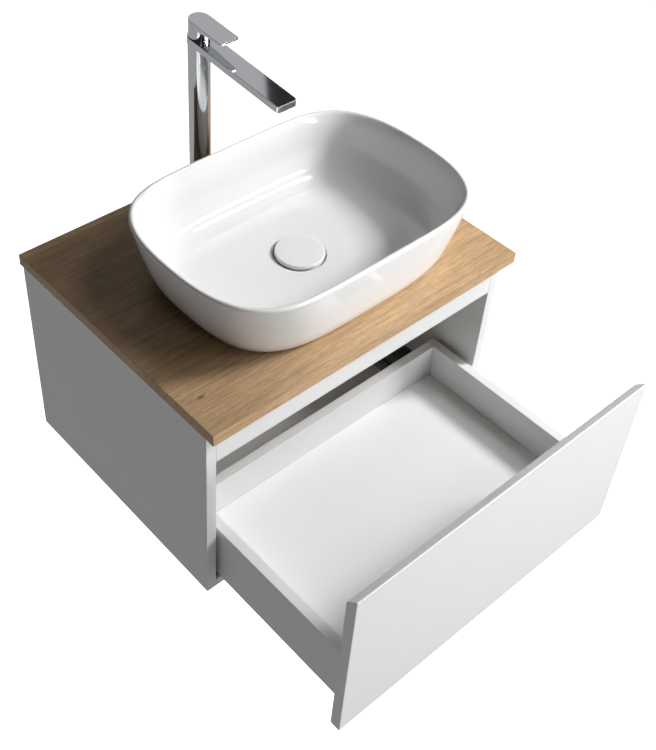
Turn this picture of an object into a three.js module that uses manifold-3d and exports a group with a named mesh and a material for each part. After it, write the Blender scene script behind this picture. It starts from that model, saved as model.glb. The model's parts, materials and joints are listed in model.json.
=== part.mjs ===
// Wall-hung vanity: oak-look worktop, vessel basin, tall single-lever mixer and one wide drawer.
// Millimetres, +Z up, +X to the right seen from the front, the wall is the plane y = 0 and the
// front looks along -Y. The origin is the middle of the hanging rail's rear face.
import * as THREE from 'three';
import { mergeVertices } from 'three/addons/utils/BufferGeometryUtils.js';
import Module from 'manifold-3d';

const wasm = await Module();
wasm.setup();

// ---------------------------------------------------------------- driving dimensions
const FIT = 0.3;              // gap that stands for a glued or screwed contact
const ROUND = 28;             // sides of an ordinary round piece

const WORKTOP = { width: 600, depth: 470, thickness: 19, edging: 1 };
const CABINET = { height: 358, sideOverhang: 4.5, frontOverhang: 21 };
const PANEL = { side: 17, bottom: 16, railHeight: 66, railThickness: 17 };
const HANG_RAIL = { height: 90, thickness: 16, notchClearance: 5 };
const LOW_RAIL = { height: 60, thickness: 16 };
const HANGER = { width: 16, depth: 58, height: 62, hookHeight: 22, hookDepth: 6, dropFromTop: 12 };
const CLEAT = { leg: 24, thickness: 2, length: 300, frontSetback: 60 };

const DRAWER = {
  frontHeight: 313, frontThickness: 18, frontSideGap: 0.5, frontTopDrop: 48.5, buffer: 2.5,
  sideGap: 7, sideHeight: 111, sideTopDrop: 227, boxDepth: 362, wall: 16,
  floor: 12, floorDrop: 65, open: 273.5,
};
const BUFFER = { radius: 5, thickness: 2, inset: 40 };
const RUNNER = {
  length: 350, frontSetback: 4, sheet: 1.5, floorGap: 0.7, flangeHeight: 44, shelfWidth: 46,
  channelInset: 30, channelHeight: 12, memberGap: 1, middleHeight: 17, middleShort: 20,
  webWidth: 3, webDip: 12, capWidth: 22,
};
const CLIP = { width: 26, length: 38, height: 13 };

const BASIN = {
  centreX: 25, centreY: -272, length: 496, width: 348, height: 114, wall: 11, rimRound: 4,
  footLength: 434, footWidth: 311, footRound: 12, endSquareness: 5.4, sideSquareness: 2.46,
  footEndSquareness: 4, footSideSquareness: 2.8, flare: 1.26, floor: 12, floorRise: 2.5,
  recessDepth: 5, segments: 72,
};
const WASTE = {
  capRadius: 39, capThickness: 6.5, capRound: 2.2, capGap: 1, flangeRadius: 34, flange: 1.7,
  tubeRadius: 21, tubeWall: 3, tubeBelow: 56, sealThickness: 1.2, recessGap: 2.2,
  plungerRadius: 5, plungerLength: 30, guideRadius: 8.5, guideHeight: 9, guideDepth: 24,
  barWidth: 6, holeGap: 2,
};
const BACKNUT = { radius: 31, thickness: 9, washer: 3 };
const TRAP = {
  pipeRadius: 16, pipeWall: 2, bend: 26, pipeDrop: 104, centreFromWall: 50, bottleRadius: 27,
  bottleWall: 2.5, bottleTopDrop: 142, bottleHeight: 84, cupHeight: 26, cupExtra: 3,
  nutExtra: 6, nutHeight: 14, collar: 10, outletDrop: 26, socket: 6, rosetteRadius: 34, rosette: 3,
};
const MIXER = {
  centreX: 25, centreFromWall: 29, columnRadius: 17.2, columnWall: 2.7, baseRadius: 22, base: 5,
  gasket: 1.5, gasketRadius: 19.5, spoutHeight: 266, spoutReach: 201, spoutHalfWidth: 18,
  spoutThickness: 11.5, spoutFall: 4.5, spoutCorner: 4, shankRadius: 15.5, shankWall: 2.5,
  shankBelow: 30, nutRadius: 26, nut: 9, washerRadius: 25, washer: 3, holeGap: 2,
  aeratorRadius: 10.5, aeratorInset: 15, aerator: 5, inletRadius: 5, inletLength: 92,
  inletSpacing: 14, unionRadius: 6.5, union: 13,
};
const LEVER = {
  cartridgeRadius: 12, cartridgeDepth: 24, cartridgeAbove: 4, nutRadius: 13.7, nutDepth: 5,
  nutAbove: 3, hubRadius: 16.7, hubHeight: 19, hubBore: 14.4, hubLift: 0.8, paddleGap: 0.7,
  paddle: 8, paddleTip: 3.2, paddleRadius: 17.2, reach: 70, corner: 3, pivotBack: 8, pivotDrop: 3,
  relief: 24, reliefLead: 3, lugWidth: 8, lug: 6.4, pinRadius: 1.6, pinPlay: 0.4, stemRadius: 3.5,
  stemLength: 13.5, plugRadius: 3, plug: 2, plugHeight: 0.6,
};

// ---------------------------------------------------------------- levels worked out from them
const UNDERSIDE = HANG_RAIL.height / 2 + FIT;
const TOP = UNDERSIDE + WORKTOP.thickness;
const CABINET_BOTTOM = UNDERSIDE - CABINET.height;
const CABINET_WIDTH = WORKTOP.width - 2 * CABINET.sideOverhang;
const FRONT_PLANE = -(WORKTOP.depth - CABINET.frontOverhang);
const INNER_HALF = CABINET_WIDTH / 2 - PANEL.side;
const FLOOR_TOP = CABINET_BOTTOM + PANEL.bottom;

const BOX_HALF = INNER_HALF - DRAWER.sideGap;
const BOX_TOP = UNDERSIDE - DRAWER.sideTopDrop;
const BOX_BOTTOM = BOX_TOP - DRAWER.sideHeight;
const BOX_FLOOR = BOX_TOP - DRAWER.floorDrop;
const BOX_FRONT = FRONT_PLANE - DRAWER.buffer - DRAWER.open;
const BOX_BACK = BOX_FRONT + DRAWER.boxDepth;

const SPOUT_AXIS_Y = -MIXER.centreFromWall;
const SPOUT_TILT = THREE.MathUtils.degToRad(MIXER.spoutFall);

// ---------------------------------------------------------------- finishes
const finish = (color, roughness, metalness = 0) => ({ color, roughness, metalness });
const OAK = finish('#bd9a72', 0.5);
const WHITE_BOARD = finish('#eceded', 0.45);
const WHITE_LACQUER = finish('#f2f2f2', 0.25);
const GLAZE = finish('#f7f7f6', 0.08);
const CHROME = finish('#d9dbde', 0.06, 1);
const ZINC = finish('#a9abad', 0.38, 1);
const BRASS = finish('#b79a57', 0.35, 1);
const RUBBER = finish('#26262a', 0.8);
const WHITE_PLASTIC = finish('#e9e9e6', 0.4);
const GREY_PLASTIC = finish('#6f7378', 0.5);

const vanity = new THREE.Group();

// ---------------------------------------------------------------- making and placing
function put(name, geometry, look, x = 0, y = 0, z = 0) {
  const mesh = new THREE.Mesh(geometry, new THREE.MeshStandardMaterial(look));
  mesh.name = name;
  mesh.position.set(x, y, z);
  vanity.add(mesh);
  return mesh;
}

// A board between two opposite corners.
function board(name, look, [x0, y0, z0], [x1, y1, z1]) {
  const geometry = new THREE.BoxGeometry(x1 - x0, y1 - y0, z1 - z0);
  return put(name, geometry, look, (x0 + x1) / 2, (y0 + y1) / 2, (z0 + z1) / 2);
}

// A turned piece about +Z from a closed [radius, height] profile, drawn either way round.
function turned(profile, sides = ROUND) {
  const points = profile.map(([radius, height]) => new THREE.Vector2(radius, height));
  if (THREE.ShapeUtils.isClockWise(points)) points.reverse();
  return new THREE.LatheGeometry([...points, points[0]], sides).rotateX(Math.PI / 2);
}

// A ring or tube about +Z; a solid disc when the inner radius is 0.
function tube(outer, inner, bottom, top, sides = ROUND) {
  return turned([[inner, bottom], [outer, bottom], [outer, top], [inner, top]], sides);
}

// A six-sided nut about +Z with a round bore.
function hexNut(radius, bore, bottom, top) {
  const corners = [0, 1, 2, 3, 4, 5].map((corner) => (corner * Math.PI) / 3);
  const shape = polygon(corners.map((at) => [radius * Math.cos(at), radius * Math.sin(at)]));
  shape.holes.push(new THREE.Path().absarc(0, 0, bore, 0, Math.PI * 2, true));
  const options = { depth: top - bottom, bevelEnabled: false, curveSegments: ROUND / 2 };
  return new THREE.ExtrudeGeometry(shape, options).translate(0, 0, bottom);
}

function toSolid(geometry) {
  const bare = geometry.clone();
  bare.deleteAttribute('normal');
  bare.deleteAttribute('uv');
  const merged = mergeVertices(bare, 1e-4);
  const vertProperties = new Float32Array(merged.attributes.position.array);
  const triVerts = new Uint32Array(merged.index.array);
  return new wasm.Manifold(new wasm.Mesh({ numProp: 3, vertProperties, triVerts }));
}

function toGeometry(solid) {
  const mesh = solid.getMesh();
  const geometry = new THREE.BufferGeometry();
  geometry.setAttribute('position', new THREE.BufferAttribute(mesh.vertProperties, 3));
  geometry.setIndex(new THREE.BufferAttribute(mesh.triVerts, 1));
  geometry.computeVertexNormals();
  return geometry;
}

const joined = (...pieces) => toGeometry(pieces.map(toSolid).reduce((all, next) => all.add(next)));
const cut = (piece, ...tools) => toGeometry(
  tools.map(toSolid).reduce((rest, tool) => rest.subtract(tool), toSolid(piece)));

function polygon(points) {
  return new THREE.Shape(points.map(([x, y]) => new THREE.Vector2(x, y)));
}

// ---------------------------------------------------------------- cabinet carcass
function carcass() {
  for (const [side, sign] of [['left', -1], ['right', 1]]) {
    const inner = sign * INNER_HALF;
    const outer = sign * CABINET_WIDTH / 2;
    board(`side_panel_${side}`, WHITE_BOARD,
      [Math.min(inner, outer), FRONT_PLANE, CABINET_BOTTOM],
      [Math.max(inner, outer), 0, UNDERSIDE - FIT]);
  }
  const reach = INNER_HALF - FIT;
  board('bottom_panel', WHITE_BOARD, [-reach, FRONT_PLANE, CABINET_BOTTOM], [reach, 0, FLOOR_TOP]);
  board('front_top_rail', WHITE_BOARD,
    [-reach, FRONT_PLANE, UNDERSIDE - PANEL.railHeight],
    [reach, FRONT_PLANE + PANEL.railThickness, UNDERSIDE - FIT]);
  const railReach = reach - HANGER.width - FIT;
  // The hanging rail is notched at the top, round the nut and shank of the mixer.
  const railTop = HANG_RAIL.height / 2;
  const notchHalf = MIXER.nutRadius + HANG_RAIL.notchClearance;
  const notchFloor = UNDERSIDE - MIXER.shankBelow - HANG_RAIL.notchClearance;
  const outline = polygon([
    [-railReach, -railTop], [railReach, -railTop], [railReach, railTop],
    [MIXER.centreX + notchHalf, railTop], [MIXER.centreX + notchHalf, notchFloor],
    [MIXER.centreX - notchHalf, notchFloor], [MIXER.centreX - notchHalf, railTop],
    [-railReach, railTop],
  ]);
  const rail = new THREE.ExtrudeGeometry(outline, { depth: HANG_RAIL.thickness, bevelEnabled: false });
  put('hanging_rail', rail.rotateX(Math.PI / 2), WHITE_BOARD);
  board('lower_back_rail', WHITE_BOARD,
    [-reach, -LOW_RAIL.thickness, FLOOR_TOP + FIT],
    [reach, 0, FLOOR_TOP + FIT + LOW_RAIL.height]);
}

// A cabinet hanger is a steel case in the top rear corner with a hook that bears on the wall plate.
function hangers() {
  const top = UNDERSIDE - HANGER.dropFromTop;
  const outline = polygon([
    [0, 0], [0, -HANGER.hookHeight], [-HANGER.hookDepth, -HANGER.hookHeight],
    [-HANGER.hookDepth, -HANGER.height], [-HANGER.depth, -HANGER.height], [-HANGER.depth, 0],
  ]);
  for (const [side, sign] of [['left', -1], ['right', 1]]) {
    const geometry = new THREE.ExtrudeGeometry(outline, { depth: HANGER.width, bevelEnabled: false });
    geometry.rotateX(Math.PI / 2);
    geometry.rotateZ(Math.PI / 2);
    const middle = sign * (INNER_HALF - FIT - HANGER.width / 2);
    put(`cabinet_hanger_${side}`, geometry, ZINC, middle - HANGER.width / 2, 0, top);
  }
}

// Steel angles screwed to the side panels carry the worktop.
function worktopCleats() {
  const { leg, thickness } = CLEAT;
  for (const [side, sign] of [['left', -1], ['right', 1]]) {
    const outline = polygon([
      [0, 0], [0, -leg], [-sign * thickness, -leg], [-sign * thickness, -thickness],
      [-sign * leg, -thickness], [-sign * leg, 0],
    ]);
    const geometry = new THREE.ExtrudeGeometry(outline, { depth: CLEAT.length, bevelEnabled: false });
    geometry.rotateX(Math.PI / 2);
    const back = FRONT_PLANE + CLEAT.frontSetback + CLEAT.length;
    put(`worktop_cleat_${side}`, geometry, ZINC, sign * (INNER_HALF - FIT), back, UNDERSIDE - FIT);
  }
}

// ---------------------------------------------------------------- worktop
function worktop() {
  const half = WORKTOP.width / 2;
  const strip = WORKTOP.edging;
  const core = polygon([
    [-half + strip, -WORKTOP.depth + strip], [half - strip, -WORKTOP.depth + strip],
    [half - strip, 0], [-half + strip, 0],
  ]);
  const holes = [
    [BASIN.centreX, BASIN.centreY, WASTE.tubeRadius + WASTE.holeGap],
    [MIXER.centreX, SPOUT_AXIS_Y, MIXER.shankRadius + MIXER.holeGap],
  ];
  for (const [x, y, radius] of holes) {
    core.holes.push(new THREE.Path().absarc(x, y, radius, 0, Math.PI * 2, true));
  }
  const slab = new THREE.ExtrudeGeometry(core, {
    depth: WORKTOP.thickness, bevelEnabled: false, curveSegments: ROUND / 2,
  });
  put('worktop', slab, OAK, 0, 0, UNDERSIDE);
  const skin = strip - FIT;
  board('worktop_edging_front', OAK,
    [-half, -WORKTOP.depth, UNDERSIDE], [half, -WORKTOP.depth + skin, TOP]);
  board('worktop_edging_left', OAK,
    [-half, -WORKTOP.depth + strip, UNDERSIDE], [-half + skin, 0, TOP]);
  board('worktop_edging_right', OAK,
    [half - skin, -WORKTOP.depth + strip, UNDERSIDE], [half, 0, TOP]);
}

// ---------------------------------------------------------------- drawer
function drawerBox() {
  const { wall } = DRAWER;
  for (const [side, sign] of [['left', -1], ['right', 1]]) {
    const outer = sign * BOX_HALF;
    const inner = sign * (BOX_HALF - wall);
    board(`drawer_side_${side}`, WHITE_BOARD,
      [Math.min(outer, inner), BOX_FRONT + FIT, BOX_BOTTOM],
      [Math.max(outer, inner), BOX_BACK, BOX_TOP]);
  }
  const reach = BOX_HALF - wall - FIT;
  board('drawer_back', WHITE_BOARD,
    [-reach, BOX_BACK - wall, BOX_FLOOR - DRAWER.floor], [reach, BOX_BACK, BOX_TOP]);
  board('drawer_bottom', WHITE_BOARD,
    [-reach, BOX_FRONT + FIT, BOX_FLOOR - DRAWER.floor], [reach, BOX_BACK - wall - FIT, BOX_FLOOR]);
}

function drawerFront() {
  const half = CABINET_WIDTH / 2 - DRAWER.frontSideGap;
  const top = UNDERSIDE - DRAWER.frontTopDrop;
  board('drawer_front', WHITE_LACQUER,
    [-half, BOX_FRONT - DRAWER.frontThickness, top - DRAWER.frontHeight], [half, BOX_FRONT, top]);
  for (const [side, sign] of [['left', -1], ['right', 1]]) {
    const pad = tube(BUFFER.radius, 0, 0, BUFFER.thickness, 16).rotateX(-Math.PI / 2);
    const x = sign * (CABINET_WIDTH / 2 - PANEL.side / 2);
    put(`drawer_buffer_${side}`, pad, RUBBER, x, BOX_FRONT + FIT, top - BUFFER.inset);
  }
}

// Sections are drawn in [distance from the side panel, height above the shelf] and extruded along y.
function runnerPiece(name, look, sign, section, front, length) {
  const points = section.map(([across, up]) => [sign * (INNER_HALF - across), up]);
  const geometry = new THREE.ExtrudeGeometry(polygon(points), { depth: length, bevelEnabled: false });
  geometry.rotateX(Math.PI / 2);
  put(name, geometry, look, 0, front + length, FLOOR_TOP + RUNNER.floorGap);
}

function runners() {
  const { sheet, shelfWidth, flangeHeight, channelInset, channelHeight, memberGap } = RUNNER;
  const fixedSection = [
    [FIT, 0], [shelfWidth, 0], [shelfWidth, channelHeight], [shelfWidth - sheet, channelHeight],
    [shelfWidth - sheet, sheet], [channelInset + sheet, sheet], [channelInset + sheet, channelHeight],
    [channelInset, channelHeight], [channelInset, sheet], [FIT + sheet, sheet],
    [FIT + sheet, flangeHeight], [FIT, flangeHeight],
  ];
  const near = channelInset + sheet + memberGap;
  const far = shelfWidth - sheet - memberGap;
  const low = sheet + memberGap;
  const high = low + RUNNER.middleHeight;
  const middleSection = [
    [near, low], [far, low], [far, high], [far - sheet, high], [far - sheet, low + sheet],
    [near + sheet, low + sheet], [near + sheet, high], [near, high],
  ];
  const middle = (near + far) / 2;
  const under = BOX_FLOOR - DRAWER.floor - FIT - (FLOOR_TOP + RUNNER.floorGap);
  const web = RUNNER.webWidth / 2;
  const cap = RUNNER.capWidth / 2;
  const webBottom = high - RUNNER.webDip;
  const drawerSection = [
    [middle - web, webBottom], [middle + web, webBottom], [middle + web, under - sheet],
    [middle + cap, under - sheet], [middle + cap, under], [middle - cap, under],
    [middle - cap, under - sheet], [middle - web, under - sheet],
  ];
  const front = FRONT_PLANE + RUNNER.frontSetback;
  const boxFront = front - DRAWER.open;
  const clipRoom = CLIP.length + 2 * FIT;
  for (const [side, sign] of [['left', -1], ['right', 1]]) {
    runnerPiece(`runner_fixed_${side}`, ZINC, sign, fixedSection, front, RUNNER.length);
    runnerPiece(`runner_middle_${side}`, ZINC, sign, middleSection,
      front - DRAWER.open / 2, RUNNER.length - RUNNER.middleShort);
    runnerPiece(`runner_drawer_${side}`, ZINC, sign, drawerSection,
      boxFront + clipRoom, RUNNER.length - clipRoom);
    const x = sign * (INNER_HALF - middle);
    const top = BOX_FLOOR - DRAWER.floor - FIT;
    board(`drawer_clip_${side}`, GREY_PLASTIC,
      [x - CLIP.width / 2, boxFront, top - CLIP.height],
      [x + CLIP.width / 2, boxFront + CLIP.length, top]);
  }
}

// ---------------------------------------------------------------- basin
// Distance from the centre to |x/a|^p + |y/b|^q = 1 in a given direction.
function outlineRadius(angle, { a, b, p, q }) {
  const across = Math.abs(Math.cos(angle)) / a;
  const along = Math.abs(Math.sin(angle)) / b;
  let low = 0;
  let high = Math.hypot(a, b) * 1.2;
  for (let turn = 0; turn < 40; turn += 1) {
    const middle = (low + high) / 2;
    const inside = (middle * across) ** p + (middle * along) ** q < 1;
    if (inside) low = middle;
    else high = middle;
  }
  return low;
}

// A closed skin over a loop of outlines, each at its height z.
function lofted(outlines, segments) {
  const positions = [];
  for (const outline of outlines) {
    for (let step = 0; step < segments; step += 1) {
      const angle = (step / segments) * Math.PI * 2;
      const radius = outlineRadius(angle, outline);
      positions.push(radius * Math.cos(angle), radius * Math.sin(angle), outline.z);
    }
  }
  const index = [];
  const count = outlines.length;
  for (let ring = 0; ring < count; ring += 1) {
    const next = (ring + 1) % count;
    for (let step = 0; step < segments; step += 1) {
      const after = (step + 1) % segments;
      const corners = [ring, step, ring, after, next, after, next, step];
      const [p, q, r, s] = [0, 2, 4, 6].map((at) => corners[at] * segments + corners[at + 1]);
      index.push(p, q, r, p, r, s);
    }
  }
  const geometry = new THREE.BufferGeometry();
  geometry.setAttribute('position', new THREE.Float32BufferAttribute(positions, 3));
  geometry.setIndex(index);
  geometry.computeVertexNormals();
  return geometry;
}

// The outer outline at a share of the height, pulled in by an inset and set at height z.
function basinOutline(share, inset, z) {
  const grow = 1 - (1 - share) ** BASIN.flare;
  const blend = (low, high, by) => low + (high - low) * by;
  return {
    a: blend(BASIN.footLength, BASIN.length, grow) / 2 - inset,
    b: blend(BASIN.footWidth, BASIN.width, grow) / 2 - inset,
    p: blend(BASIN.footEndSquareness, BASIN.endSquareness, share),
    q: blend(BASIN.footSideSquareness, BASIN.sideSquareness, share),
    z,
  };
}

const circle = (radius, z) => ({ a: radius, b: radius, p: 2, q: 2, z });
const drainHole = WASTE.tubeRadius + WASTE.holeGap;
const recessRadius = WASTE.capRadius + WASTE.recessGap;
const recessLevel = BASIN.floor - BASIN.recessDepth;

function basin() {
  const { height, wall, rimRound, footRound, floor, floorRise } = BASIN;
  const outside = [0.18, 0.4, 0.6, 0.8].map((share) => basinOutline(share, 0, share * height));
  const foot = [[1, 0], [0.45, 0.15], [0.12, 0.5]].map(([inset, rise]) =>
    basinOutline(0, footRound * inset, footRound * rise));
  const rim = [[0, 1], [0.3, 0.3], [1, 0], [1.9, 0.3]].map(([inset, drop]) =>
    basinOutline(1, rimRound * inset, height - rimRound * drop));
  const inside = [0.85, 0.65, 0.48].map((share) => basinOutline(share, wall, share * height));
  // A quarter-round cove carries the wall into the floor.
  const coveTop = 0.48 * height;
  const coveDeep = coveTop - floor - floorRise;
  const cove = [25, 45, 65, 80, 90].map((degrees) => {
    const turn = THREE.MathUtils.degToRad(degrees);
    const inset = wall + coveDeep * 1.15 * (1 - Math.cos(turn));
    return basinOutline(0.3, inset, coveTop - coveDeep * Math.sin(turn));
  });
  const drain = [circle(recessRadius, floor), circle(recessRadius - 0.8, recessLevel),
    circle(drainHole, recessLevel)];
  const skin = lofted([circle(drainHole, 0), ...foot, ...outside, ...rim, ...inside, ...cove,
    ...drain], BASIN.segments);
  put('basin', skin, GLAZE, BASIN.centreX, BASIN.centreY, TOP + FIT);
}

// ---------------------------------------------------------------- waste
function waste() {
  const { tubeRadius, tubeWall, flangeRadius, flange, sealThickness } = WASTE;
  const place = (name, geometry, look, z) =>
    put(name, geometry, look, BASIN.centreX, BASIN.centreY, TOP + FIT + z);
  const sealTop = recessLevel + FIT + sealThickness;
  place('waste_top_seal', tube(flangeRadius - 2, drainHole + 1, recessLevel + FIT, sealTop), RUBBER, 0);

  const flangeBottom = sealTop + FIT;
  const flangeTop = flangeBottom + flange;
  const tubeBottom = -WORKTOP.thickness - WASTE.tubeBelow;
  const bore = tubeRadius - tubeWall;
  const shell = turned([
    [bore, tubeBottom], [tubeRadius, tubeBottom], [tubeRadius, flangeBottom],
    [flangeRadius, flangeBottom], [flangeRadius, flangeTop], [bore, flangeTop],
  ]);
  const guideTop = flangeTop - WASTE.guideDepth;
  const guideBottom = guideTop - WASTE.guideHeight;
  const bar = new THREE.BoxGeometry(2 * bore + tubeWall, WASTE.barWidth, WASTE.guideHeight);
  bar.translate(0, 0, (guideTop + guideBottom) / 2);
  const hub = tube(WASTE.guideRadius, 0, guideBottom, guideTop, 16);
  const slideway = tube(WASTE.plungerRadius + 0.6, 0, guideBottom - 1, guideTop + 1, 16);
  place('waste_body', cut(joined(shell, bar, hub), slideway), CHROME, 0);

  const capBottom = flangeTop + WASTE.capGap;
  const capTop = capBottom + WASTE.capThickness;
  const { capRadius, capRound } = WASTE;
  const capSolid = turned([
    [0, capBottom], [capRadius - capRound, capBottom], [capRadius, capBottom + capRound * 0.6],
    [capRadius, capTop - capRound], [capRadius - capRound * 0.3, capTop - capRound * 0.3],
    [capRadius - capRound, capTop], [0, capTop + 0.8],
  ], 40);
  place('waste_cap', capSolid, GLAZE, 0);
  const plungerTop = capBottom - FIT;
  place('waste_plunger',
    tube(WASTE.plungerRadius, 0, plungerTop - WASTE.plungerLength, plungerTop, 16), CHROME, 0);

  const washerTop = -WORKTOP.thickness - 2 * FIT;
  const nutTop = washerTop - BACKNUT.washer - FIT;
  place('waste_washer',
    tube(BACKNUT.radius, tubeRadius + FIT, washerTop - BACKNUT.washer, washerTop), RUBBER, 0);
  place('waste_backnut',
    hexNut(BACKNUT.radius, tubeRadius + FIT, nutTop - BACKNUT.thickness, nutTop), BRASS, 0);
}

// ---------------------------------------------------------------- trap
// A path of straight stretches joined by quarter turns of one radius.
function bentPath(corners, radius) {
  const path = new THREE.CurvePath();
  const soft = radius * 0.4477;
  let from = corners[0];
  for (let at = 1; at < corners.length - 1; at += 1) {
    const into = corners[at].clone().sub(corners[at - 1]).normalize();
    const out = corners[at + 1].clone().sub(corners[at]).normalize();
    const start = corners[at].clone().addScaledVector(into, -radius);
    const end = corners[at].clone().addScaledVector(out, radius);
    path.add(new THREE.LineCurve3(from, start));
    path.add(new THREE.CubicBezierCurve3(start, corners[at].clone().addScaledVector(into, -soft),
      corners[at].clone().addScaledVector(out, soft), end));
    from = end;
  }
  path.add(new THREE.LineCurve3(from, corners[corners.length - 1]));
  return path;
}

function ringShape(outer, inner) {
  const shape = new THREE.Shape().absarc(0, 0, outer, 0, Math.PI * 2);
  shape.holes.push(new THREE.Path().absarc(0, 0, inner, 0, Math.PI * 2, true));
  return shape;
}

function trap() {
  const { pipeRadius, pipeWall, bottleRadius, bottleWall, nutHeight, nutExtra } = TRAP;
  const x = BASIN.centreX;
  const bottleY = -TRAP.centreFromWall;
  const wasteEnd = TOP + FIT - WORKTOP.thickness - WASTE.tubeBelow;
  const run = UNDERSIDE - TRAP.pipeDrop;
  const bottleTop = UNDERSIDE - TRAP.bottleTopDrop;
  const path = bentPath([
    new THREE.Vector3(x, BASIN.centreY, wasteEnd - FIT), new THREE.Vector3(x, BASIN.centreY, run),
    new THREE.Vector3(x, bottleY, run), new THREE.Vector3(x, bottleY, bottleTop + FIT),
  ], TRAP.bend);
  const pipe = new THREE.ExtrudeGeometry(ringShape(pipeRadius, pipeRadius - pipeWall),
    { steps: 34, curveSegments: 7, extrudePath: path });
  put('trap_inlet_pipe', pipe, WHITE_PLASTIC);

  const coupling = turned([
    [pipeRadius + FIT, wasteEnd - nutHeight], [WASTE.tubeRadius + nutExtra, wasteEnd - nutHeight],
    [WASTE.tubeRadius + nutExtra, wasteEnd + nutHeight], [WASTE.tubeRadius + FIT, wasteEnd + nutHeight],
    [WASTE.tubeRadius + FIT, wasteEnd - FIT], [pipeRadius + FIT, wasteEnd - 2 * FIT],
  ]);
  put('trap_inlet_nut', coupling, WHITE_PLASTIC, x, BASIN.centreY, 0);

  const bottleBottom = bottleTop - TRAP.bottleHeight;
  const outletZ = bottleTop - TRAP.outletDrop;
  const socketEnd = bottleRadius + TRAP.socket;
  const barrel = turned([
    [pipeRadius, bottleTop - 4], [pipeRadius, bottleTop], [bottleRadius, bottleTop],
    [bottleRadius, bottleBottom], [bottleRadius - bottleWall, bottleBottom],
    [bottleRadius - bottleWall, bottleTop - 4],
  ], 24);
  const branch = tube(pipeRadius, 0, 0, socketEnd, 20).rotateX(-Math.PI / 2).translate(0, 0, outletZ);
  const branchBore = tube(pipeRadius - pipeWall, 0, 0, socketEnd + 1, 20)
    .rotateX(-Math.PI / 2).translate(0, 0, outletZ);
  const chamber = tube(bottleRadius - bottleWall, 0, bottleBottom - 1, bottleTop - 4, 24);
  put('trap_bottle', cut(joined(barrel, branch), branchBore, chamber), WHITE_PLASTIC, x, bottleY, 0);

  const collar = tube(pipeRadius + nutExtra, pipeRadius + FIT, bottleTop + FIT,
    bottleTop + TRAP.collar);
  put('trap_bottle_nut', collar, WHITE_PLASTIC, x, bottleY, 0);

  const cupRadius = bottleRadius + TRAP.cupExtra;
  const cupBottom = bottleBottom - TRAP.cupHeight / 2;
  const cup = turned([
    [0, cupBottom], [cupRadius, cupBottom], [cupRadius, bottleBottom + TRAP.cupHeight / 2],
    [bottleRadius + FIT, bottleBottom + TRAP.cupHeight / 2], [bottleRadius + FIT, bottleBottom - FIT],
    [bottleRadius - bottleWall, bottleBottom - FIT], [bottleRadius - bottleWall, cupBottom + 3],
    [0, cupBottom + 3],
  ], 24);
  put('trap_cleanout_cup', cup, WHITE_PLASTIC, x, bottleY, 0);

  const outletStart = bottleY + socketEnd + FIT;
  const outlet = tube(pipeRadius, pipeRadius - pipeWall, 0, -outletStart, 20).rotateX(-Math.PI / 2);
  put('trap_outlet_pipe', outlet, WHITE_PLASTIC, x, outletStart, outletZ);
  const rosette = tube(TRAP.rosetteRadius, pipeRadius + FIT, 0, TRAP.rosette).rotateX(-Math.PI / 2);
  put('trap_wall_rosette', rosette, WHITE_PLASTIC, x, -TRAP.rosette, outletZ);
}

// ---------------------------------------------------------------- mixer
// A plate outline with a round back about the origin and a squared tip at -y.
function tongue(radius, reach, corner) {
  const shape = new THREE.Shape();
  shape.absarc(0, 0, radius, 0, Math.PI);
  shape.lineTo(-radius, -reach + corner);
  shape.absarc(-radius + corner, -reach + corner, corner, Math.PI, Math.PI * 1.5);
  shape.absarc(radius - corner, -reach + corner, corner, Math.PI * 1.5, Math.PI * 2);
  shape.lineTo(radius, 0);
  return shape;
}

function mixerBody() {
  const { columnRadius, columnWall, spoutThickness, spoutHeight, spoutReach } = MIXER;
  const bottom = MIXER.gasket + MIXER.base + 3 * FIT;
  const faceUp = spoutThickness / 2;
  const inHead = (geometry) => geometry.rotateX(SPOUT_TILT).translate(0, 0, spoutHeight);
  const column = tube(columnRadius, 0, bottom, spoutHeight);
  const spout = inHead(new THREE.ExtrudeGeometry(
    tongue(MIXER.spoutHalfWidth, spoutReach, MIXER.spoutCorner),
    { depth: spoutThickness, bevelEnabled: false, curveSegments: 12 }).translate(0, 0, -faceUp));
  const seatFloor = faceUp - LEVER.cartridgeDepth;
  const waterway = tube(columnRadius - columnWall, 0, bottom - 1, spoutHeight + seatFloor - columnWall);
  const seat = inHead(tube(LEVER.cartridgeRadius + FIT, 0, seatFloor, faceUp + 1));
  const nutSeat = inHead(tube(LEVER.nutRadius + FIT, 0, faceUp - LEVER.nutDepth, faceUp + 1));
  const outletY = -spoutReach + MIXER.aeratorInset;
  const outlet = inHead(tube(MIXER.aeratorRadius + FIT, 0, -faceUp - 1, -faceUp + MIXER.aerator, 20)
    .translate(0, outletY, 0));
  put('mixer_body', cut(joined(column, spout), waterway, seat, nutSeat, outlet), CHROME,
    MIXER.centreX, SPOUT_AXIS_Y, TOP);

  const aerator = inHead(tube(MIXER.aeratorRadius, 3, -faceUp, -faceUp + MIXER.aerator - FIT, 20)
    .translate(0, outletY, 0));
  put('mixer_aerator', aerator, GREY_PLASTIC, MIXER.centreX, SPOUT_AXIS_Y, TOP);
}

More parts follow.
